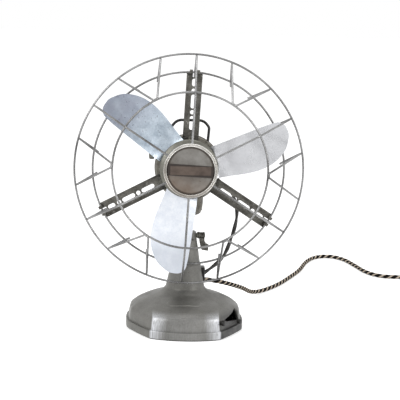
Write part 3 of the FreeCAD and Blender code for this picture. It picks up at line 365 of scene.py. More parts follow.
def speckled(name, dark, light, rough, metal, patch, grain, relief, grain_share=0.35,
             marks=None, top_tint=None, second=None, **sockets):
    """Two shades in soft patches with a finer grain over them, roughness and relief to match.

    patch, grain and the scale of the marks are noise scales. marks is (shade, scale, share) for
    scattered spots; the last two are (shade, mask) for a painted highlight, painted shade or
    a darker tone laid over parts of the surface.
    """
    g = Graph(name)
    patches = g.ramp(g.noise(patch, 4.0), 0.32, 0.68)
    grains = g.ramp(g.noise(grain, 2.0), 0.3, 0.7)
    blend = g.math("ADD", g.math("MULTIPLY", patches, 1 - grain_share),
                   g.math("MULTIPLY", grains, grain_share))
    colour = g.mix(blend, shade(*dark), shade(*light))
    for overlay in (second, top_tint):
        if overlay is not None:
            colour = g.mix(overlay[1](g), colour, shade(*overlay[0]))
    height = g.noise(grain, 3.0)
    if marks is not None:
        spot_shade, scale, share = marks
        spots = g.ramp(g.noise(scale, 6.0, 0.7), 0.5 + share, 0.5 + share + SPOT_EDGE)
        colour = g.mix(g.math("MULTIPLY", spots, SPOT_COVER), colour, shade(*spot_shade))
        height = g.math("SUBTRACT", height, g.math("MULTIPLY", spots, SPOT_DEPTH))
    roughness = g.ramp(g.noise(patch * 3, 3.0), 0.3, 0.7, *rough)
    return g.finish(colour, roughness, metal, g.bump(height, relief), **sockets)


# ---- masks for painted highlights, painted shade and darker parts --------------------------
def along(direction, start, end, share):
    """A blotchy mask that rises from 0 at start to share at end along a direction."""
    def mask(g):
        level = g.ramp(g.reach(direction), start, end, 0.0, share)
        blotches = g.ramp(g.noise(60.0, 4.0), 0.25, 0.6, 0.55, 1.0)
        return g.math("MULTIPLY", level, blotches, clamp=True)
    return mask


def painted_corner_highlights(g):
    """A mask for painted highlights in brushed streaks along the two corners of the base's front
    facet.
    """
    x, y, z = g.axes()
    bell_corner = g.ramp(z, 0.0125, 0.030, 0.0490, 0.0476)
    plinth_step = g.ramp(z, 0.0127, 0.0123, 0.0, 0.0020)
    inside = g.math("SUBTRACT", g.math("ADD", bell_corner, plinth_step), g.math("ABSOLUTE", x))
    near = g.math("MULTIPLY", g.ramp(inside, 0.022, 0.003, 0.1), g.ramp(inside, -0.0005, 0.0005))
    front = g.math("MULTIPLY", g.ramp(y, -0.055, -0.075), g.ramp(z, 0.038, 0.031))
    brushed = g.ramp(g.noise(1.0, 4.0, vector=g.scaled((900.0, 900.0, 40.0))), 0.3, 0.7, 0.25, 1.0)
    return g.math("MULTIPLY", g.math("MULTIPLY", near, front), brushed)


def shaded_facet(g):
    """A mask for painted shade on the lever's facet and the plinth under it."""
    x, _, z = g.axes()
    outward = g.reach((0.865, -0.5, 0.0))
    facet = g.math("MULTIPLY", g.ramp(outward, 0.064, 0.080), g.ramp(x, 0.0485, 0.0500))
    low_part = g.math("MULTIPLY", g.ramp(z, 0.020, 0.010, 0.7, 1.0), g.ramp(z, 0.038, 0.030))
    blotches = g.ramp(g.noise(70.0, 4.0), 0.3, 0.6, 0.7, 1.0)
    return g.math("MULTIPLY", g.math("MULTIPLY", facet, low_part), blotches)


def head_place(g):
    """The place's X and Y in the fan's own frame."""
    node = g.add("ShaderNodeMapping", vector_type="TEXTURE")
    g.put(node.inputs["Vector"], g.place)
    angles = FAN.to_euler()
    node.inputs["Location"].default_value = FAN.to_translation() * MM
    node.inputs["Rotation"].default_value = (angles.x, angles.y, angles.z)
    return g.axes(node.outputs["Vector"])[:2]


def badge_shadow(g):
    """A mask for painted shade round the badge's middle and a painted shadow line inside its
    bezel.
    """
    x, y = head_place(g)
    out = g.math("SQRT", g.math("ADD", g.math("MULTIPLY", x, x), g.math("MULTIPLY", y, y)))
    middle = g.math("MULTIPLY", g.ramp(out, 0.019, 0.004),
                    g.ramp(g.noise(90.0, 3.0), 0.3, 0.6, 0.35, 0.75))
    return g.math("MAXIMUM", middle, g.ramp(out, 0.0302, 0.0312, 0.0, 0.8), clamp=True)


def band_border(g):
    """A mask for the dark rims and ends of the badge's band, which itself stays bare."""
    x, y = head_place(g)
    rims = g.ramp(g.math("ABSOLUTE", y), 0.0055, 0.0063)
    ends = g.ramp(g.math("ABSOLUTE", x), 0.0275, 0.0285)
    return g.math("MULTIPLY", g.math("MAXIMUM", rims, ends), 0.85)


# ---- finishes ------------------------------------------------------------------------------
# The cast finish has a painted highlight at the front facet's corners and painted shade on the
# lever's facet.
CAST = speckled("cast_aluminium", (95, 94, 90), (127, 126, 122), (0.34, 0.5), metal=0.55,
                patch=22.0, grain=520.0, relief=0.00008, marks=((78, 74, 67), 160.0, 0.16),
                top_tint=((222, 224, 229), painted_corner_highlights), second=((62, 62, 62), shaded_facet))
MOTOR = speckled("head_metal", (84, 81, 74), (132, 128, 118), (0.4, 0.6), metal=0.45,
                 patch=40.0, grain=330.0, relief=0.0002, marks=((48, 44, 38), 220.0, 0.08))
STRUT = speckled("strut_bronze", (52, 50, 46), (120, 118, 112), (0.25, 0.42), metal=0.7,
                 patch=60.0, grain=500.0, relief=0.00005, marks=((184, 182, 178), 240.0, 0.13))
WIRE = speckled("guard_wire", (64, 63, 62), (176, 176, 176), (0.2, 0.34), metal=0.75,
                patch=16.0, grain=700.0, relief=0.00002, marks=((66, 58, 52), 120.0, 0.14))
STEEL = speckled("dull_steel", (92, 91, 84), (126, 125, 117), (0.3, 0.45), metal=0.6,
                 patch=60.0, grain=800.0, relief=0.00002)
# The trim turns browner and darker towards the lower left.
TRIM_LOW_LEFT_TINT = along((-0.45, 0.0, -0.89), -0.225, -0.185, 0.6)
CHROME = speckled("bright_trim", (172, 170, 165), (216, 214, 210), (0.22, 0.28), metal=0.95,
                  patch=40.0, grain=120.0, relief=0.000001, grain_share=0.1,
                  top_tint=((118, 104, 90), TRIM_LOW_LEFT_TINT))
# The badge turns browner and darker towards the lower left.
BADGE_LOW_LEFT_TINT = along((-0.4, 0.0, -0.92), -0.232, -0.196, 0.75)
# The badge face has painted shade round its middle and a painted shadow line inside the bezel.
BADGE = speckled("badge_face", (96, 91, 85), (138, 136, 132), (0.3, 0.42), metal=0.45,
                 patch=42.0, grain=260.0, relief=0.00001, grain_share=0.2,
                 marks=((88, 78, 68), 90.0, 0.15), top_tint=((66, 58, 51), badge_shadow),
                 second=((108, 88, 72), BADGE_LOW_LEFT_TINT))
BAND = speckled("badge_band", (66, 55, 49), (96, 84, 76), (0.4, 0.5), metal=0.3,
                patch=80.0, grain=300.0, relief=0.00001, grain_share=0.2,
                top_tint=((36, 30, 27), band_border))
BLACK = speckled("black_moulding", (16, 15, 14), (36, 34, 32), (0.3, 0.45), metal=0.0,
                 patch=60.0, grain=600.0, relief=0.00003, Specular_IOR_Level=0.3)
ENAMEL = speckled("black_wire", (22, 22, 22), (50, 49, 48), (0.2, 0.35), metal=0.0,
                  patch=60.0, grain=600.0, relief=0.00002)
RUBBER = speckled("black_rubber", (30, 28, 27), (62, 60, 57), (0.4, 0.6), metal=0.0,
                  patch=70.0, grain=900.0, relief=0.00005)
FELT = speckled("felt", (36, 40, 32), (58, 62, 50), (0.85, 0.95), metal=0.0,
                patch=200.0, grain=1500.0, relief=0.0003)
BRASS = speckled("brass", (150, 122, 66), (196, 166, 102), (0.22, 0.35), metal=1.0,
                 patch=90.0, grain=900.0, relief=0.00001)
IRON = speckled("laminations", (78, 78, 80), (108, 108, 110), (0.4, 0.55), metal=0.9,
                patch=90.0, grain=900.0, relief=0.00003)
COPPER = speckled("copper", (120, 58, 26), (176, 98, 50), (0.3, 0.45), metal=0.9,
                  patch=90.0, grain=900.0, relief=0.0001)
CERAMIC = speckled("resistor_ceramic", (196, 190, 176), (224, 219, 206), (0.4, 0.55), metal=0.0,
                   patch=60.0, grain=600.0, relief=0.00003)
FIBRE = speckled("fibre", (70, 46, 26), (108, 76, 46), (0.5, 0.65), metal=0.0,
                 patch=120.0, grain=900.0, relief=0.00004)
# Each blade has its own finish: lit and shaded copies of one aluminium, with painted light and
# shade in their tones, the left and bottom ones darker towards their tips.
LEFT_TIP = along((-0.785, 0.07, 0.62), 0.222, 0.268, 0.75)
BOTTOM_TIP = along((-0.139, 0.0, -0.99), -0.145, -0.112, 0.7)
BLADES = [speckled("blade_right", (178, 179, 182), (194, 195, 198), (0.2, 0.28), metal=0.7,
                   patch=30.0, grain=200.0, relief=0.000003, grain_share=0.15),
          speckled("blade_left", (138, 151, 164), (200, 211, 221), (0.26, 0.4), metal=0.6,
                   patch=75.0, grain=420.0, relief=0.000015, marks=((150, 160, 172), 170.0, 0.12),
                   top_tint=((128, 130, 144), LEFT_TIP)),
          speckled("blade_bottom", (216, 222, 232), (240, 243, 248), (0.3, 0.45), metal=0.4,
                   patch=110.0, grain=420.0, relief=0.00004,
                   top_tint=((188, 194, 204), BOTTOM_TIP))]
# A light finish that paints a highlight on the struts' broken edges.
EDGE_HIGHLIGHT = speckled("painted_edge_highlight", (150, 147, 140), (214, 212, 207), (0.2, 0.3), metal=0.8,
                       patch=60.0, grain=500.0, relief=0.00001)
OF_SLOT = {"cast_aluminium": CAST, "head_metal": MOTOR, "strut_bronze": STRUT,
           "guard_wire": WIRE, "dull_steel": STEEL, "bright_trim": CHROME, "badge_face": BADGE,
           "badge_band": BAND, "blade_aluminium": BLADES[0], "black_moulding": BLACK,
           "black_wire": ENAMEL, "black_rubber": RUBBER, "felt": FELT, "brass": BRASS,
           "laminations": IRON, "copper": COPPER, "resistor_ceramic": CERAMIC, "fibre": FIBRE}
THREAD_TURNS = 9.0
THREAD_PITCH = 2600.0


def braid(name, groove_shade, dark, light):
    """Cotton braid over two strands: pale on their crests, with painted shade near black in the
    groove between them.
    """
    g = Graph(name)
    around, run, _ = g.axes(g.add("ShaderNodeUVMap", uv_map="UVMap").outputs["UV"])

    def threads(turns):
        phase = g.math("ADD", g.math("MULTIPLY", around, turns * 2 * math.pi),
                       g.math("MULTIPLY", run, THREAD_PITCH))
        return g.math("SINE", phase)

    weave = g.math("MULTIPLY", threads(THREAD_TURNS), threads(-THREAD_TURNS))
    crest = g.math("COSINE", g.math("MULTIPLY", around, 4 * math.pi))
    flecks = g.math("MULTIPLY", g.ramp(weave, -0.5, 0.3, 0.45, 1.0),
                    g.ramp(g.noise(420.0, 2.0), 0.3, 0.65, 0.6, 1.0))
    colour = g.mix(flecks, shade(*dark), shade(*light))
    # Painted shade in the groove between the strands.
    colour = g.mix(g.ramp(crest, 0.42, 0.68), shade(*groove_shade), colour)
    height = g.math("ADD", weave, g.math("MULTIPLY", g.noise(1500.0, 2.0), 0.6))
    return g.finish(colour, 0.85, 0.0, g.bump(height, 0.0002), Specular_IOR_Level=0.15)


BRAID = braid("cord_braid", (14, 9, 7), (120, 96, 76), (232, 220, 200))

# ---- cords ---------------------------------------------------------------------------------
# A strand is (radius, offset from the cord's line, length of a turn).
CORD_STRAND = (2.8, 0.65, -28.0)
CORD_STEP = 1.3
CORD_ROUTE = [(28.0, 7.0, 68.3), (39.5, 12.6, 65.6), (52.5, 23.0, 61.4), (67.5, 45.0, 53.2),
              (84.0, 82.0, 40.6), (98.0, 124.0, 26.6), (108.0, 162.0, 13.2), (122.0, 196.0, 4.6),
              (142.0, 222.0, 3.6), (166.0, 262.0, 3.6), (189.0, 315.0, 3.6), (212.0, 372.0, 3.6),
              (226.0, 430.0, 3.6), (246.0, 478.0, 3.6), (276.0, 494.0, 3.6), (301.0, 470.0, 3.6),
              (314.0, 420.0, 3.6), (325.0, 366.0, 3.6), (346.0, 334.0, 3.6), (378.0, 331.0, 3.6),
              (406.0, 330.0, 3.6)]
CORD_TAIL = [(466.6, 361.0, 10.4), (469.0, 372.0, 10.8), (468.4, 384.0, 13.2),
             (468.0, 396.0, 14.0)]
COIL_CENTRE = Vector((432.0, 366.0, 0.0))
COIL_TURNS = [(39.4, 3.6), (32.6, 3.8), (39.2, 10.2), (32.8, 10.4)]
POINTS_PER_TURN = 16
EASE_FROM, EASE_OVER = 0.7, 0.3
LEAVING_POINTS, LEAVING_STEP, LEAVING_GROWTH, LEAVING_HEIGHT = 4, 22.5, 0.9, 10.4
FLEX_STRAND = (1.95, 1.05, 62.0)
FLEX_STEP = 1.5
MOTOR_CABLE_ROUTE = [(50.0, 44.4, 207.9), (61.5, 48.6, 201.0), (70.5, 50.8, 188.0),
                     (76.0, 51.4, 171.5), (76.6, 49.4, 154.5), (73.0, 44.2, 137.5),
                     (67.4, 38.0, 121.5), (60.6, 29.5, 104.5), (49.5, 20.5, 90.2),
                     (28.4, 9.0, 77.6)]
SKIN_POINTS = 24


def coil_points():
    """Turns of the put-away length, side by side in two layers.

    Each turn starts at the coil's front and eases over to the next turn in its last part.
    """
    points = []
    for number, (radius, height) in enumerate(COIL_TURNS):
        following = COIL_TURNS[min(number + 1, len(COIL_TURNS) - 1)]
        for i in range(POINTS_PER_TURN):
            t = i / POINTS_PER_TURN
            ease = max(0.0, (t - EASE_FROM) / EASE_OVER)
            r = radius + (following[0] - radius) * ease
            z = height + (following[1] - height) * ease
            points.append(COIL_CENTRE + polar(r, -90 + 360 * t, z))
    for i in range(LEAVING_POINTS):
        r = COIL_TURNS[-1][0] + i * LEAVING_GROWTH
        points.append(COIL_CENTRE + polar(r, -90 + LEAVING_STEP * i, LEAVING_HEIGHT))
    return points


def nurbs_line(name, points):
    """The points of a smooth curve that has the given control points."""
    data = bpy.data.curves.new(name, "CURVE")
    data.dimensions = "3D"
    data.resolution_u = 10
    spline = data.splines.new("NURBS")
    spline.points.add(len(points) - 1)
    for knot, p in zip(spline.points, points):
        knot.co = (p[0] * MM, p[1] * MM, p[2] * MM, 1.0)
    spline.order_u = 3
    spline.use_endpoint_u = True
    holder = linked(bpy.data.objects.new(name, data))
    bpy.context.view_layer.update()
    evaluated = holder.evaluated_get(bpy.context.evaluated_depsgraph_get())
    mesh = bpy.data.meshes.new_from_object(evaluated)
    line = [v.co / MM for v in mesh.vertices]
    bpy.data.objects.remove(holder)
    bpy.data.meshes.remove(mesh)
    return line


def even(line, step):
    """The line with points a step apart."""
    out, carry = [line[0]], 0.0
    for a, b in zip(line, line[1:]):
        length = (b - a).length
        at = step - carry
        while at < length:
            out.append(a.lerp(b, at / length))
            at += step
        carry = length - (at - step)
    out.append(line[-1])
    return out


def twin(line, strand, span=None):
    """Two strands wound about a line, or about a span of it, as one skin.

    Its coordinates are the place across the strands, the same on both, and the run in metres.
    """
    radius, offset, pitch = strand
    first, last = span or (0, len(line) - 1)
    verts, uvs, run = [], [], 0.0
    for i, (p, (side, up)) in enumerate(zip(line, frames_along(line))):
        if i:
            run += (p - line[i - 1]).length
        if not first <= i <= last:
            continue
        for k in range(SKIN_POINTS):
            a = 2 * math.pi * k / SKIN_POINTS
            reach = (offset * abs(math.cos(a))
                     + math.sqrt(radius ** 2 - (offset * math.sin(a)) ** 2))
            b = a + 2 * math.pi * run / pitch
            verts.append(p + side * (reach * math.cos(b)) + up * (reach * math.sin(b)))
            uvs.append((0.5 - abs(k / SKIN_POINTS - 0.5), run * MM))
    rings = last - first + 1
    return verts, ring_faces(rings, SKIN_POINTS) + end_caps(rings, SKIN_POINTS), uvs


def make_mains_cord():
    points = [Vector(p) for p in CORD_ROUTE] + coil_points() + [Vector(p) for p in CORD_TAIL]
    line = nurbs_line("mains_route", points)
    fine = even(line, CORD_STEP)
    verts, faces, uvs = twin(fine, CORD_STRAND)
    piece = build("mains_cord_twisted", verts, faces, "base", "braided_cord", [BRAID], uvs=uvs,
                  angle=60)
    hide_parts("mains_cord", "cord_coil")


def make_motor_cable():
    """The lead from the motor to the column.

    It crosses two joints, so it is in two lengths that meet at its middle, one for each joint.
    """
    line = even(nurbs_line("motor_route", MOTOR_CABLE_ROUTE), FLEX_STEP)
    middle, end = len(line) // 2, len(line) - 1
    for name, span, bodies in (
            ("motor_cable_upper", (0, middle), ("motor_head", "swivel_carrier")),
            ("motor_cable_lower", (middle, end), ("swivel_carrier", "base"))):
        verts, faces, uvs = twin(line, FLEX_STRAND, span)
        piece = build(name, verts, faces, None, "black_rubber", [RUBBER], uvs=uvs, angle=60)
        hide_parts("motor_cable")
        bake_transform(piece)


make_mains_cord()
make_motor_cable()

# ---- guard ---------------------------------------------------------------------------------
# A ring is (radius, distance along the shaft). The wires lie before the front and back rings
# and inside the outer one.
WIRE_R = 1.5
BACK_RING = (138.6, 23.3)
OUTER_RING = (163.4, 51.3)
FRONT_RING = (108.1, 111.3)
GUARD_CLOCK = 87.6
V_SPREAD = 11.6
CAP_FACE = 130.0
WELD_OFFSET = 2 * WIRE_R * 0.86
FRONT_S = FRONT_RING[1] + WELD_OFFSET
BACK_R, BACK_S = BACK_RING[0] - 1.0, BACK_RING[1] + WELD_OFFSET
SIDE_R, SIDE_S = OUTER_RING[0] - WELD_OFFSET, OUTER_RING[1] + 1.5
TAIL_DROP = 1.0


def long_wire(angle):
    """A wire from the cap over the front and the side to the back ring, and its bend radii."""
    plane = [(34.0, CAP_FACE - 10.0), (FRONT_RING[0] - 2, FRONT_S), (SIDE_R, SIDE_S),
             (BACK_R, BACK_S), (BACK_RING[0] - 7.0, BACK_S - TAIL_DROP)]
    return [polar(r, angle, s) for r, s in plane], [14.0, 6.0, 4.0]


def v_wire(angle):
    """A wire bent in a V at the front ring, with both legs to the back, and its bend radii."""
    apex = polar(FRONT_RING[0] + 1.0, angle, FRONT_S)

    def leg(side):
        outer = polar(SIDE_R, angle + side * V_SPREAD, SIDE_S)
        heading = Vector((outer.x - apex.x, outer.y - apex.y, 0)).normalized()
        level = Vector((outer.x, outer.y, 0))
        ahead = level.dot(heading)
        run = -ahead + math.sqrt(ahead ** 2 - level.length ** 2 + BACK_R ** 2)
        back, tail = level + heading * run, level + heading * (run - 6.5)
        return [outer, Vector((back.x, back.y, BACK_S)),
                Vector((tail.x, tail.y, BACK_S - TAIL_DROP))]

    return list(reversed(leg(1))) + [apex] + leg(-1), [4.0, 6.0, 4.0, 6.0, 4.0]


def make_guard():
    for name, (radius, s) in (("guard_back_ring", BACK_RING), ("guard_outer_ring", OUTER_RING),
                              ("guard_front_ring", FRONT_RING)):
        line = [polar(radius, 2 * i, s) for i in range(180)]
        verts, faces = tube(line, WIRE_R, 14, closed=True)
        piece = build(name + "_wire", verts, faces, "motor_head", "guard_wire", [WIRE], FAN, 60)
        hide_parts(name)
    for name, make, first in (("guard_long_wires", long_wire, GUARD_CLOCK),
                              ("guard_v_wires", v_wire, GUARD_CLOCK + 30)):
        parts = []
        for i in range(6):
            points, radii = make(first + 60 * i)
            parts.append(tube(bent(pulled(points, radii), radii, 8), WIRE_R, 12))
        piece = build(name + "_round", *merged(parts), "motor_head", "guard_wire", [WIRE], FAN,
                      60)
        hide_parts(name)


make_guard()

# ---- cap and badge -------------------------------------------------------------------------
# Profiles are (radius, height over the face).
CAP_CUP = [(0, -18), (30, -18), (35.6, -14), (35.6, -6), (34.0, -6), (34.0, -13), (29.5, -16.5),
           (0, -16.5)]
CAP_BEZEL = [(35.6, -8), (37.4, -6), (37.4, -2.4), (37.1, -1.6), (36.6, -1.2), (36.1, -1.4),
             (35.7, -2.2), (35.0, -2.2), (34.6, -1.0), (34.1, -0.3), (33.5, -0.2), (33.0, -0.7),
             (32.6, -2.0), (32.4, -4.0), (35.6, -4.0)]
BADGE_DISC = [(0, -5.0), (32.3, -5.0), (32.3, -3.4), (30.8, -3.5), (30.2, -3.1), (24, -2.4),
              (12, -1.8), (0, -1.6)]
CORNER_STEPS = 3


def rounded(profile, radius):
    """A closed profile with its corners eased."""
    out, n = [], len(profile)
    points = [Vector((r, z)) for r, z in profile]
    for i in range(n):
        before, corner, after = points[i - 1], points[i], points[(i + 1) % n]
        if corner.x < 1e-6:
            out.append((corner.x, corner.y))
            continue
        a, b = before - corner, after - corner
        cut = min(radius, a.length * 0.45, b.length * 0.45)
        p, q = corner + a.normalized() * cut, corner + b.normalized() * cut
        for k in range(CORNER_STEPS + 1):
            t = k / CORNER_STEPS
            at = p * (1 - t) ** 2 + corner * 2 * t * (1 - t) + q * t * t
            out.append((at.x, at.y))
    return out


def lathe_piece(name, profile, face, body, slot, material, node, ease, segments=96, angle=40.0):
    """A turned piece on the shaft's line, which stands for a node."""
    verts, faces = turned(rounded([(r, face + z) for r, z in profile], ease), segments)
    piece = build(name, verts, faces, body, slot, [material], FAN, angle)
    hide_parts(node)


lathe_piece("cap_cup_pressed", CAP_CUP, CAP_FACE, "motor_head", "dull_steel", STEEL, "cap_cup",
            1.0)
lathe_piece("cap_bezel_beaded", CAP_BEZEL, CAP_FACE, "motor_head", "bright_trim", CHROME,
            "cap_bezel", 0.3, 128, 60)
lathe_piece("badge_disc_domed", BADGE_DISC, CAP_FACE, "motor_head", "badge_face", BADGE,
            "badge_disc", 0.4, 128, 60)

# ---- blades and hub ------------------------------------------------------------------------
# A leaf is drawn along X from the shaft: its outline is (x, y) and its pitch (x, degrees).
BLADE_S = 50.0
BLADE_T = 1.3
BLADE_PHASE = 21.7
BLADE_UPPER = [(22.0, 18.0), (61, 19.2), (101.6, 19.9), (130, 19.9), (143.3, 17.9), (150, 10.7),
               (151.4, 2.0)]
BLADE_LOWER = [(22.0, -24.0), (52.8, -31.0), (76.2, -36.2), (96.5, -38.2), (113.8, -36.4),
               (129, -30.5), (141.7, -20.9), (150.6, -5.6), (151.4, 2.0)]
BLADE_PITCH = smooth_line([(20, 0), (31, 0), (37, 5), (44, 16), (54, 24), (76, 27), (102, 26),
                           (127, 24), (155, 21)], 6)
CAMBER = 3.2
CAMBER_FROM, CAMBER_OVER = 31, 25.0
HALF_CHORD = 46.0
LEAF_ROWS, LEAF_COLUMNS = 64, 26
TIP_WELD = 0.00002
HUB_FACE = BLADE_S + 9.0
HUB_COVER = [(4.0, 1.0), (20, 0.6), (36, -1.2), (40.5, -3.0), (42, -4.2), (42, -5.4),
             (40.6, -5.4), (39.6, -4.4), (36, -2.6), (20, -0.8), (4.0, -0.5)]


def looked_up(table, x):
    """A table's value at x, in a straight line between its rows."""
    for (x0, y0), (x1, y1) in zip(table, table[1:]):
        if x <= x1:
            return y0 + (y1 - y0) * max(0.0, (x - x0) / (x1 - x0))
    return table[-1][1]


def blade_depth(x, y):
    """How far the sheet stands in front of its root plane."""
    a = math.radians(looked_up(BLADE_PITCH, x))
    camber = CAMBER * min(1.0, max(0.0, (x - CAMBER_FROM) / CAMBER_OVER))
    w = y / math.cos(a)
    return w * math.sin(a) - camber * (1 - (w / HALF_CHORD) ** 2)


def resampled(line, count):
    """Points at even steps along a flat line."""
    points = [Vector(p) for p in line]
    runs = [0.0]
    for a, b in zip(points, points[1:]):
        runs.append(runs[-1] + (b - a).length)
    out, k = [], 0
    for i in range(count):
        want = runs[-1] * i / (count - 1)
        while k < len(runs) - 2 and runs[k + 1] < want:
            k += 1
        t = (want - runs[k]) / max(1e-9, runs[k + 1] - runs[k])
        out.append(points[k].lerp(points[k + 1], t))
    return out


def make_blades():
    top = resampled(smooth_line(BLADE_UPPER, 12), LEAF_ROWS)
    bottom = resampled(smooth_line(BLADE_LOWER, 12), LEAF_ROWS)
    verts = []
    for side in (-0.5, 0.5):
        for a, b in zip(top, bottom):
            for k in range(LEAF_COLUMNS):
                p = a.lerp(b, k / (LEAF_COLUMNS - 1))
                verts.append((p.x, p.y, blade_depth(p.x, p.y) + side * BLADE_T))
    faces = sheet_faces(LEAF_ROWS, LEAF_COLUMNS)
    for i, material in enumerate(BLADES):
        place = FAN @ turn(BLADE_PHASE + 120 * i, "Z") @ Matrix.Translation((0, 0, BLADE_S))
        piece = build(f"blade_{i + 1}_leaf", verts, faces, "rotor", "blade_aluminium",
                      [material], place, 40)
        weld = piece.modifiers.new("weld", "WELD")
        weld.merge_threshold = TIP_WELD
        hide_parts(f"blade_{i + 1}")


make_blades()
lathe_piece("hub_cover_dished", HUB_COVER, HUB_FACE, "rotor", "blade_aluminium", STEEL,
            "hub_cover", 0.5)

# ---- base ----------------------------------------------------------------------------------
# The outline is an octagon with bulging sides. A section is (height, side reach, roundness),
# from 0 for the octagon to 1 for a circle.
FRONT_CORNER = (51.0, 84.0)
SIDE_CORNER = (84.0, 27.0)
FRONT_REACH = 95.0
SIDE_REACH = 86.0
FACET_BULGE = 1.5
FACET_POINTS = 24
PAD_THICK = 1.5
PLINTH_TOP = 12.5
PLINTH = [(PAD_THICK, -0.6), (PAD_THICK + 0.6, 0), (PLINTH_TOP - 0.8, 0),
          (PLINTH_TOP - 0.2, -0.3), (PLINTH_TOP, -0.9), (PLINTH_TOP - 0.3, -2.6),
          (PLINTH_TOP - 0.3, -3.2)]
BELL = [(12.5, 82.6, 0.0), (22.0, 81.7, 0.0), (29.5, 79.9, 0.02), (33.0, 76.5, 0.07),
        (37.6, 70.8, 0.22), (43.0, 60.5, 0.45), (48.0, 47.0, 0.72), (52.5, 36.0, 0.95),
        (58.0, 29.6, 1.0), (62.0, 28.2, 1.0), (70.0, 26.4, 1.0), (80.0, 24.4, 1.0),
        (93.7, 22.0, 1.0)]
HOLLOW = [(4.0, 79.0, 0.0), (20.0, 77.5, 0.0), (30.0, 72.5, 0.1), (38.0, 60.0, 0.4),
          (44.0, 44.0, 0.8), (48.0, 28.0, 1.0), (54.0, 20.0, 1.0), (70.0, 18.5, 1.0),
          (93.7, 16.5, 1.0)]
CRISP_BELOW = 32
FACET_REACH = 82.0
LEVER_PIVOT = (4.5, 24.0)
LEVER_REST = -8.5
LEVER_TRAVEL = 16.0
SLOT_MARGIN = 3
SLOT_REACH, SLOT_NOSE = 55.0, 9.0
SLOT_DEPTHS = (-16, 8)
SLOT_STEPS = 12


def facet_arc(a, b, peak):
    """Points of the arc through a, peak and b, without b."""
    out = []
    for k in range(FACET_POINTS):
        t = k / FACET_POINTS
        out.append(a.lerp(b, t) + (peak - (a + b) / 2) * (4 * t * (1 - t)))
    return out


def base_outline():
    (fx, fy), (sx, sy) = FRONT_CORNER, SIDE_CORNER
    right = [Vector((fx, -fy)), Vector((sx, -sy)), Vector((sx, sy)), Vector((fx, fy))]
    corners = right + [Vector((-p.x, p.y)) for p in reversed(right)]
    out = []
    for i in range(8):
        a, b = corners[i], corners[(i + 1) % 8]
        middle = (a + b) / 2
        if i in (3, 7):
            peak = Vector((0, math.copysign(FRONT_REACH, middle.y)))
        elif i in (1, 5):
            peak = Vector((math.copysign(SIDE_REACH, middle.x), 0))
        else:
            peak = middle + middle.normalized() * FACET_BULGE
        out += facet_arc(a, b, peak)
    return out


OUTLINE = base_outline()


def base_ring(z, reach, roundness, soften):
    """A level section; soften is how often its corners are eased."""
    scale, roundness = reach / SIDE_REACH, min(1.0, max(0.0, roundness))
    ring = [p * scale * (1 - roundness) + p.normalized() * reach * roundness for p in OUTLINE]
    n = len(ring)
    for _ in range(soften):
        ring = [(ring[i - 1] + ring[i] * 2 + ring[(i + 1) % n]) / 4 for i in range(n)]
    return [(p.x, p.y, z) for p in ring]


def facet_frame(across, up):
    """The matrix of a point on the lever's facet: X along it, Y up, Z outward."""
    scale = FACET_REACH / SIDE_REACH
    a = Vector((FRONT_CORNER[0], -FRONT_CORNER[1], 0)) * scale
    b = Vector((SIDE_CORNER[0], -SIDE_CORNER[1], 0)) * scale
    level = (b - a).normalized()
    outward = level.cross(Vector((0, 0, 1)))
    axes = Matrix((level, Vector((0, 0, 1)), outward)).transposed().to_4x4()
    return Matrix.Translation(a) @ axes @ Matrix.Translation((across, up, 0))


def slot_solid():
    """Points and faces of the sector in which the speed lever moves."""
    low = math.radians(LEVER_REST - SLOT_MARGIN)
    high = math.radians(LEVER_REST + LEVER_TRAVEL + SLOT_MARGIN)
    flat = [(SLOT_NOSE * math.cos(low), SLOT_NOSE * math.sin(low))]
    for i in range(SLOT_STEPS + 1):
        a = low + (high - low) * i / SLOT_STEPS
        flat.append((SLOT_REACH * math.cos(a), SLOT_REACH * math.sin(a)))
    flat.append((SLOT_NOSE * math.cos(high), SLOT_NOSE * math.sin(high)))
    verts = [(x, y, z) for z in SLOT_DEPTHS for x, y in flat]
    return verts, end_caps(2, len(flat)) + ring_faces(2, len(flat))


def make_base():
    """The bell and its plinth, hollow, with the lever's slot cut into it."""
    rings = [base_ring(z, SIDE_REACH + inset, 0, 1) for z, inset in PLINTH]
    for z, reach, roundness in smooth_line(BELL, 6):
        rings.append(base_ring(z, reach, roundness, 5 if z > CRISP_BELOW else 1))
    for z, reach, roundness in reversed(smooth_line(HOLLOW, 3)):
        rings.append(base_ring(z, reach, roundness, 3))
    rings.append(base_ring(PAD_THICK, SIDE_REACH - 7.0, 0, 3))
    verts = [point for ring in rings for point in ring]
    faces = ring_faces(len(rings), len(OUTLINE), closed=True)
    piece = build("base_bell", verts, faces, "base", "cast_aluminium", [CAST], angle=28)
    cutter = build("slot_cutter", *slot_solid(), "base", "cast_aluminium", [CAST],
                   facet_frame(*LEVER_PIVOT))
    cut = piece.modifiers.new("slot", "BOOLEAN")
    cut.object, cut.solver = cutter, "EXACT"
    bpy.context.view_layer.update()
    evaluated = piece.evaluated_get(bpy.context.evaluated_depsgraph_get())
    done = bpy.data.meshes.new_from_object(evaluated)
    piece.modifiers.clear()
    piece.data = done
    bpy.data.objects.remove(cutter)
    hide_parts("base_casting")
    return piece


LOZENGE_CENTRE = (-2.0, -53.0)
LOZENGE_HALF = (26.0, 9.0)
LOZENGE_ROWS, LOZENGE_COLUMNS = 13, 33
LOZENGE_RISE, LOZENGE_SUNK, LOZENGE_BACK = 0.7, 0.1, 0.4
LOZENGE_RIM = 0.12
OVER_BELL = 90.0


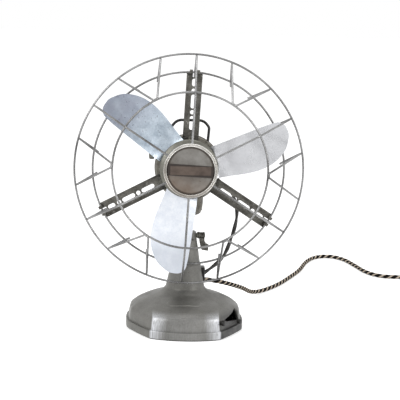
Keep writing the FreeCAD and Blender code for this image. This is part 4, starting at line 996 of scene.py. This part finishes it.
def make_lozenge(bell):
    """The low raised panel on the front of the bell, left plain."""
    work = bmesh.new()
    work.from_mesh(bell.data)
    tree = BVHTree.FromBMesh(work)
    work.free()
    verts = []
    for front in (True, False):
        for i in range(LOZENGE_ROWS):
            for j in range(LOZENGE_COLUMNS):
                u = 2 * j / (LOZENGE_COLUMNS - 1) - 1
                v = 2 * i / (LOZENGE_ROWS - 1) - 1
                width = math.sqrt(max(0.0, 1 - (v * 0.93) ** 2)) ** 0.6
                x = LOZENGE_CENTRE[0] + LOZENGE_HALF[0] * u * width
                y = LOZENGE_CENTRE[1] + LOZENGE_HALF[1] * v
                above = Vector((x, y, OVER_BELL)) * MM
                hit, normal = tree.ray_cast(above, Vector((0, 0, -1)))[:2]
                rim = min(1.0, (1 - max(abs(u), abs(v))) / LOZENGE_RIM)
                swell = LOZENGE_RISE * math.sqrt(max(0.0, rim)) - LOZENGE_SUNK
                verts.append(hit / MM + normal * (swell if front else -LOZENGE_BACK))
    faces = sheet_faces(LOZENGE_ROWS, LOZENGE_COLUMNS)
    build("base_lozenge", verts, faces, "base", "cast_aluminium", [CAST], angle=50)


make_lozenge(make_base())

# ---- CAD nodes that keep their shape -------------------------------------------------------
# EASED gives the width of the broken edges. The struts' broken edges carry a painted highlight,
# and two pieces look like another slot than their own.
EASED = {"motor_front_housing": 0.5, "motor_rear_housing": 0.5, "neck_fork": 0.35,
         "tilt_knuckle": 0.3, "lock_lever": 0.5, "tilt_bolt": 0.3, "cord_gland": 0.3,
         "speed_lever": 0.4, "gearbox_housing": 0.4, "gearbox_cover": 0.3, "strut_top": 0.5,
         "strut_lower_left": 0.5, "strut_lower_right": 0.5, "link_arm": 0.25,
         "link_anchor_pin": 0.25, "swivel_post": 0.3, "badge_band": 0.3, "hub_nut": 0.3,
         "clutch_knob": 0.3, "plug_body": 0.3}
HIGHLIT_STRUTS = ("strut_top", "strut_lower_left", "strut_lower_right")
OTHER_SLOT = {"speed_lever": "black_moulding", "lock_lever": "strut_bronze"}
SAME_POINT = 0.000005
FLAT_ANGLE, SHARP_ANGLE = math.radians(0.5), math.radians(35)


def dress_nodes():
    """Give each CAD node the material of its slot; the cord's nodes have none and are hidden."""
    for name, node in frame["nodes"].items():
        material = OF_SLOT.get(SLOT_OF[name])
        if material is None:
            continue
        for slot in node.material_slots:
            slot.material = material


def eased(node, width):
    """The node's own shape with its sharp edges broken, as castings and pressings have them."""
    slot = OTHER_SLOT.get(node, SLOT_OF[node])
    highlit = node in HIGHLIT_STRUTS
    work = bmesh.new()
    work.from_mesh(frame["nodes"][node].data)
    bmesh.ops.remove_doubles(work, verts=work.verts, dist=SAME_POINT)
    bmesh.ops.dissolve_limit(work, angle_limit=FLAT_ANGLE, verts=work.verts, edges=work.edges)
    sharp = [e for e in work.edges
             if len(e.link_faces) == 2 and e.calc_face_angle() > SHARP_ANGLE]
    broken = set(bmesh.ops.bevel(work, geom=sharp, offset=width * MM, segments=2, profile=0.5,
                                 affect="EDGES", clamp_overlap=True)["faces"])
    work.verts.index_update()
    # The struts' broken faces take the painted highlight.
    bright = [int(highlit and face in broken) for face in work.faces]
    verts = [v.co / MM for v in work.verts]
    faces = [[v.index for v in face.verts] for face in work.faces]
    work.free()
    materials = [OF_SLOT[slot], EDGE_HIGHLIGHT] if highlit else [OF_SLOT[slot]]
    piece = build(node + "_eased", verts, faces, BODY_OF[node], slot, materials, angle=38,
                  face_materials=bright)
    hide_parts(node)


dress_nodes()
for eased_node, edge_width in EASED.items():
    eased(eased_node, edge_width)

# ---- floor and light -----------------------------------------------------------------------
WHITE = (1, 1, 1, 1)
FLOOR_CORNERS = [(-6, -4, 0), (6, -4, 0), (6, 8, 0), (-6, 8, 0)]
FLOOR_DARK, FLOOR_LIGHT = (0.80, 0.80, 0.80, 1), (0.82, 0.82, 0.82, 1)
FLOOR_GLOW = 0.55
WORLD_LIGHT = 0.62
LIGHT_TARGET = Vector((0, 0, 0.2))
LIGHTS = [("key_left", (-1.9, -1.7, 1.7), (1.0, 1.4), 26),
          ("key_right", (2.0, -1.5, 1.3), (0.9, 1.3), 20),
          ("top", (0.0, 0.3, 2.4), (1.6, 1.2), 14)]


def seen(nodes, links):
    """An output that is 1 for what the camera sees, straight or by way of gloss or glass."""
    path = nodes.new("ShaderNodeLightPath")
    level = path.outputs["Is Camera Ray"]
    for kind in ("Is Glossy Ray", "Is Transmission Ray"):
        most = nodes.new("ShaderNodeMath")
        most.operation = "MAXIMUM"
        links.new(level, most.inputs[0])
        links.new(path.outputs[kind], most.inputs[1])
        level = most.outputs[0]
    return level


def make_floor():
    mesh = bpy.data.meshes.new("floor")
    mesh.from_pydata(FLOOR_CORNERS, [], [(0, 1, 2, 3)])
    g = Graph("floor")
    g.finish(g.mix(g.noise(3.0, 2.0), FLOOR_DARK, FLOOR_LIGHT), 0.9)
    glow = g.add("ShaderNodeEmission")
    glow.inputs["Color"].default_value = WHITE
    glow.inputs["Strength"].default_value = FLOOR_GLOW
    both = g.add("ShaderNodeAddShader")
    g.put(both.inputs[0], g.shader.outputs[0])
    g.put(both.inputs[1], glow.outputs[0])
    choose = g.add("ShaderNodeMixShader")
    g.put(choose.inputs[0], seen(g.nodes, g.links))
    g.put(choose.inputs[1], g.shader.outputs[0])
    g.put(choose.inputs[2], both.outputs[0])
    g.put(g.nodes["Material Output"].inputs["Surface"], choose.outputs[0])
    mesh.materials.append(g.material)
    floor = linked(bpy.data.objects.new("floor", mesh))


def make_world():
    """White to the camera, and a softer light on the object."""
    world = bpy.data.worlds.new("world")
    bpy.context.scene.world = world
    world.use_nodes = True
    nodes, links = world.node_tree.nodes, world.node_tree.links
    strength = nodes.new("ShaderNodeMapRange")
    links.new(seen(nodes, links), strength.inputs["Value"])
    strength.inputs["To Min"].default_value = WORLD_LIGHT
    strength.inputs["To Max"].default_value = 1.0
    nodes["Background"].inputs["Color"].default_value = WHITE
    links.new(strength.outputs["Result"], nodes["Background"].inputs["Strength"])


def area_light(name, place, size, power):
    """A soft lamp that faces the target."""
    data = bpy.data.lights.new(name, "AREA")
    data.shape = "RECTANGLE"
    data.size, data.size_y = size
    data.energy = power
    lamp = linked(bpy.data.objects.new(name, data))
    aim = (LIGHT_TARGET - Vector(place)).to_track_quat("-Z", "Y")
    lamp.matrix_world = Matrix.Translation(place) @ aim.to_matrix().to_4x4()


make_floor()
make_world()
for light in LIGHTS:
    area_light(*light)

bpy.context.scene.view_settings.view_transform = "Standard"
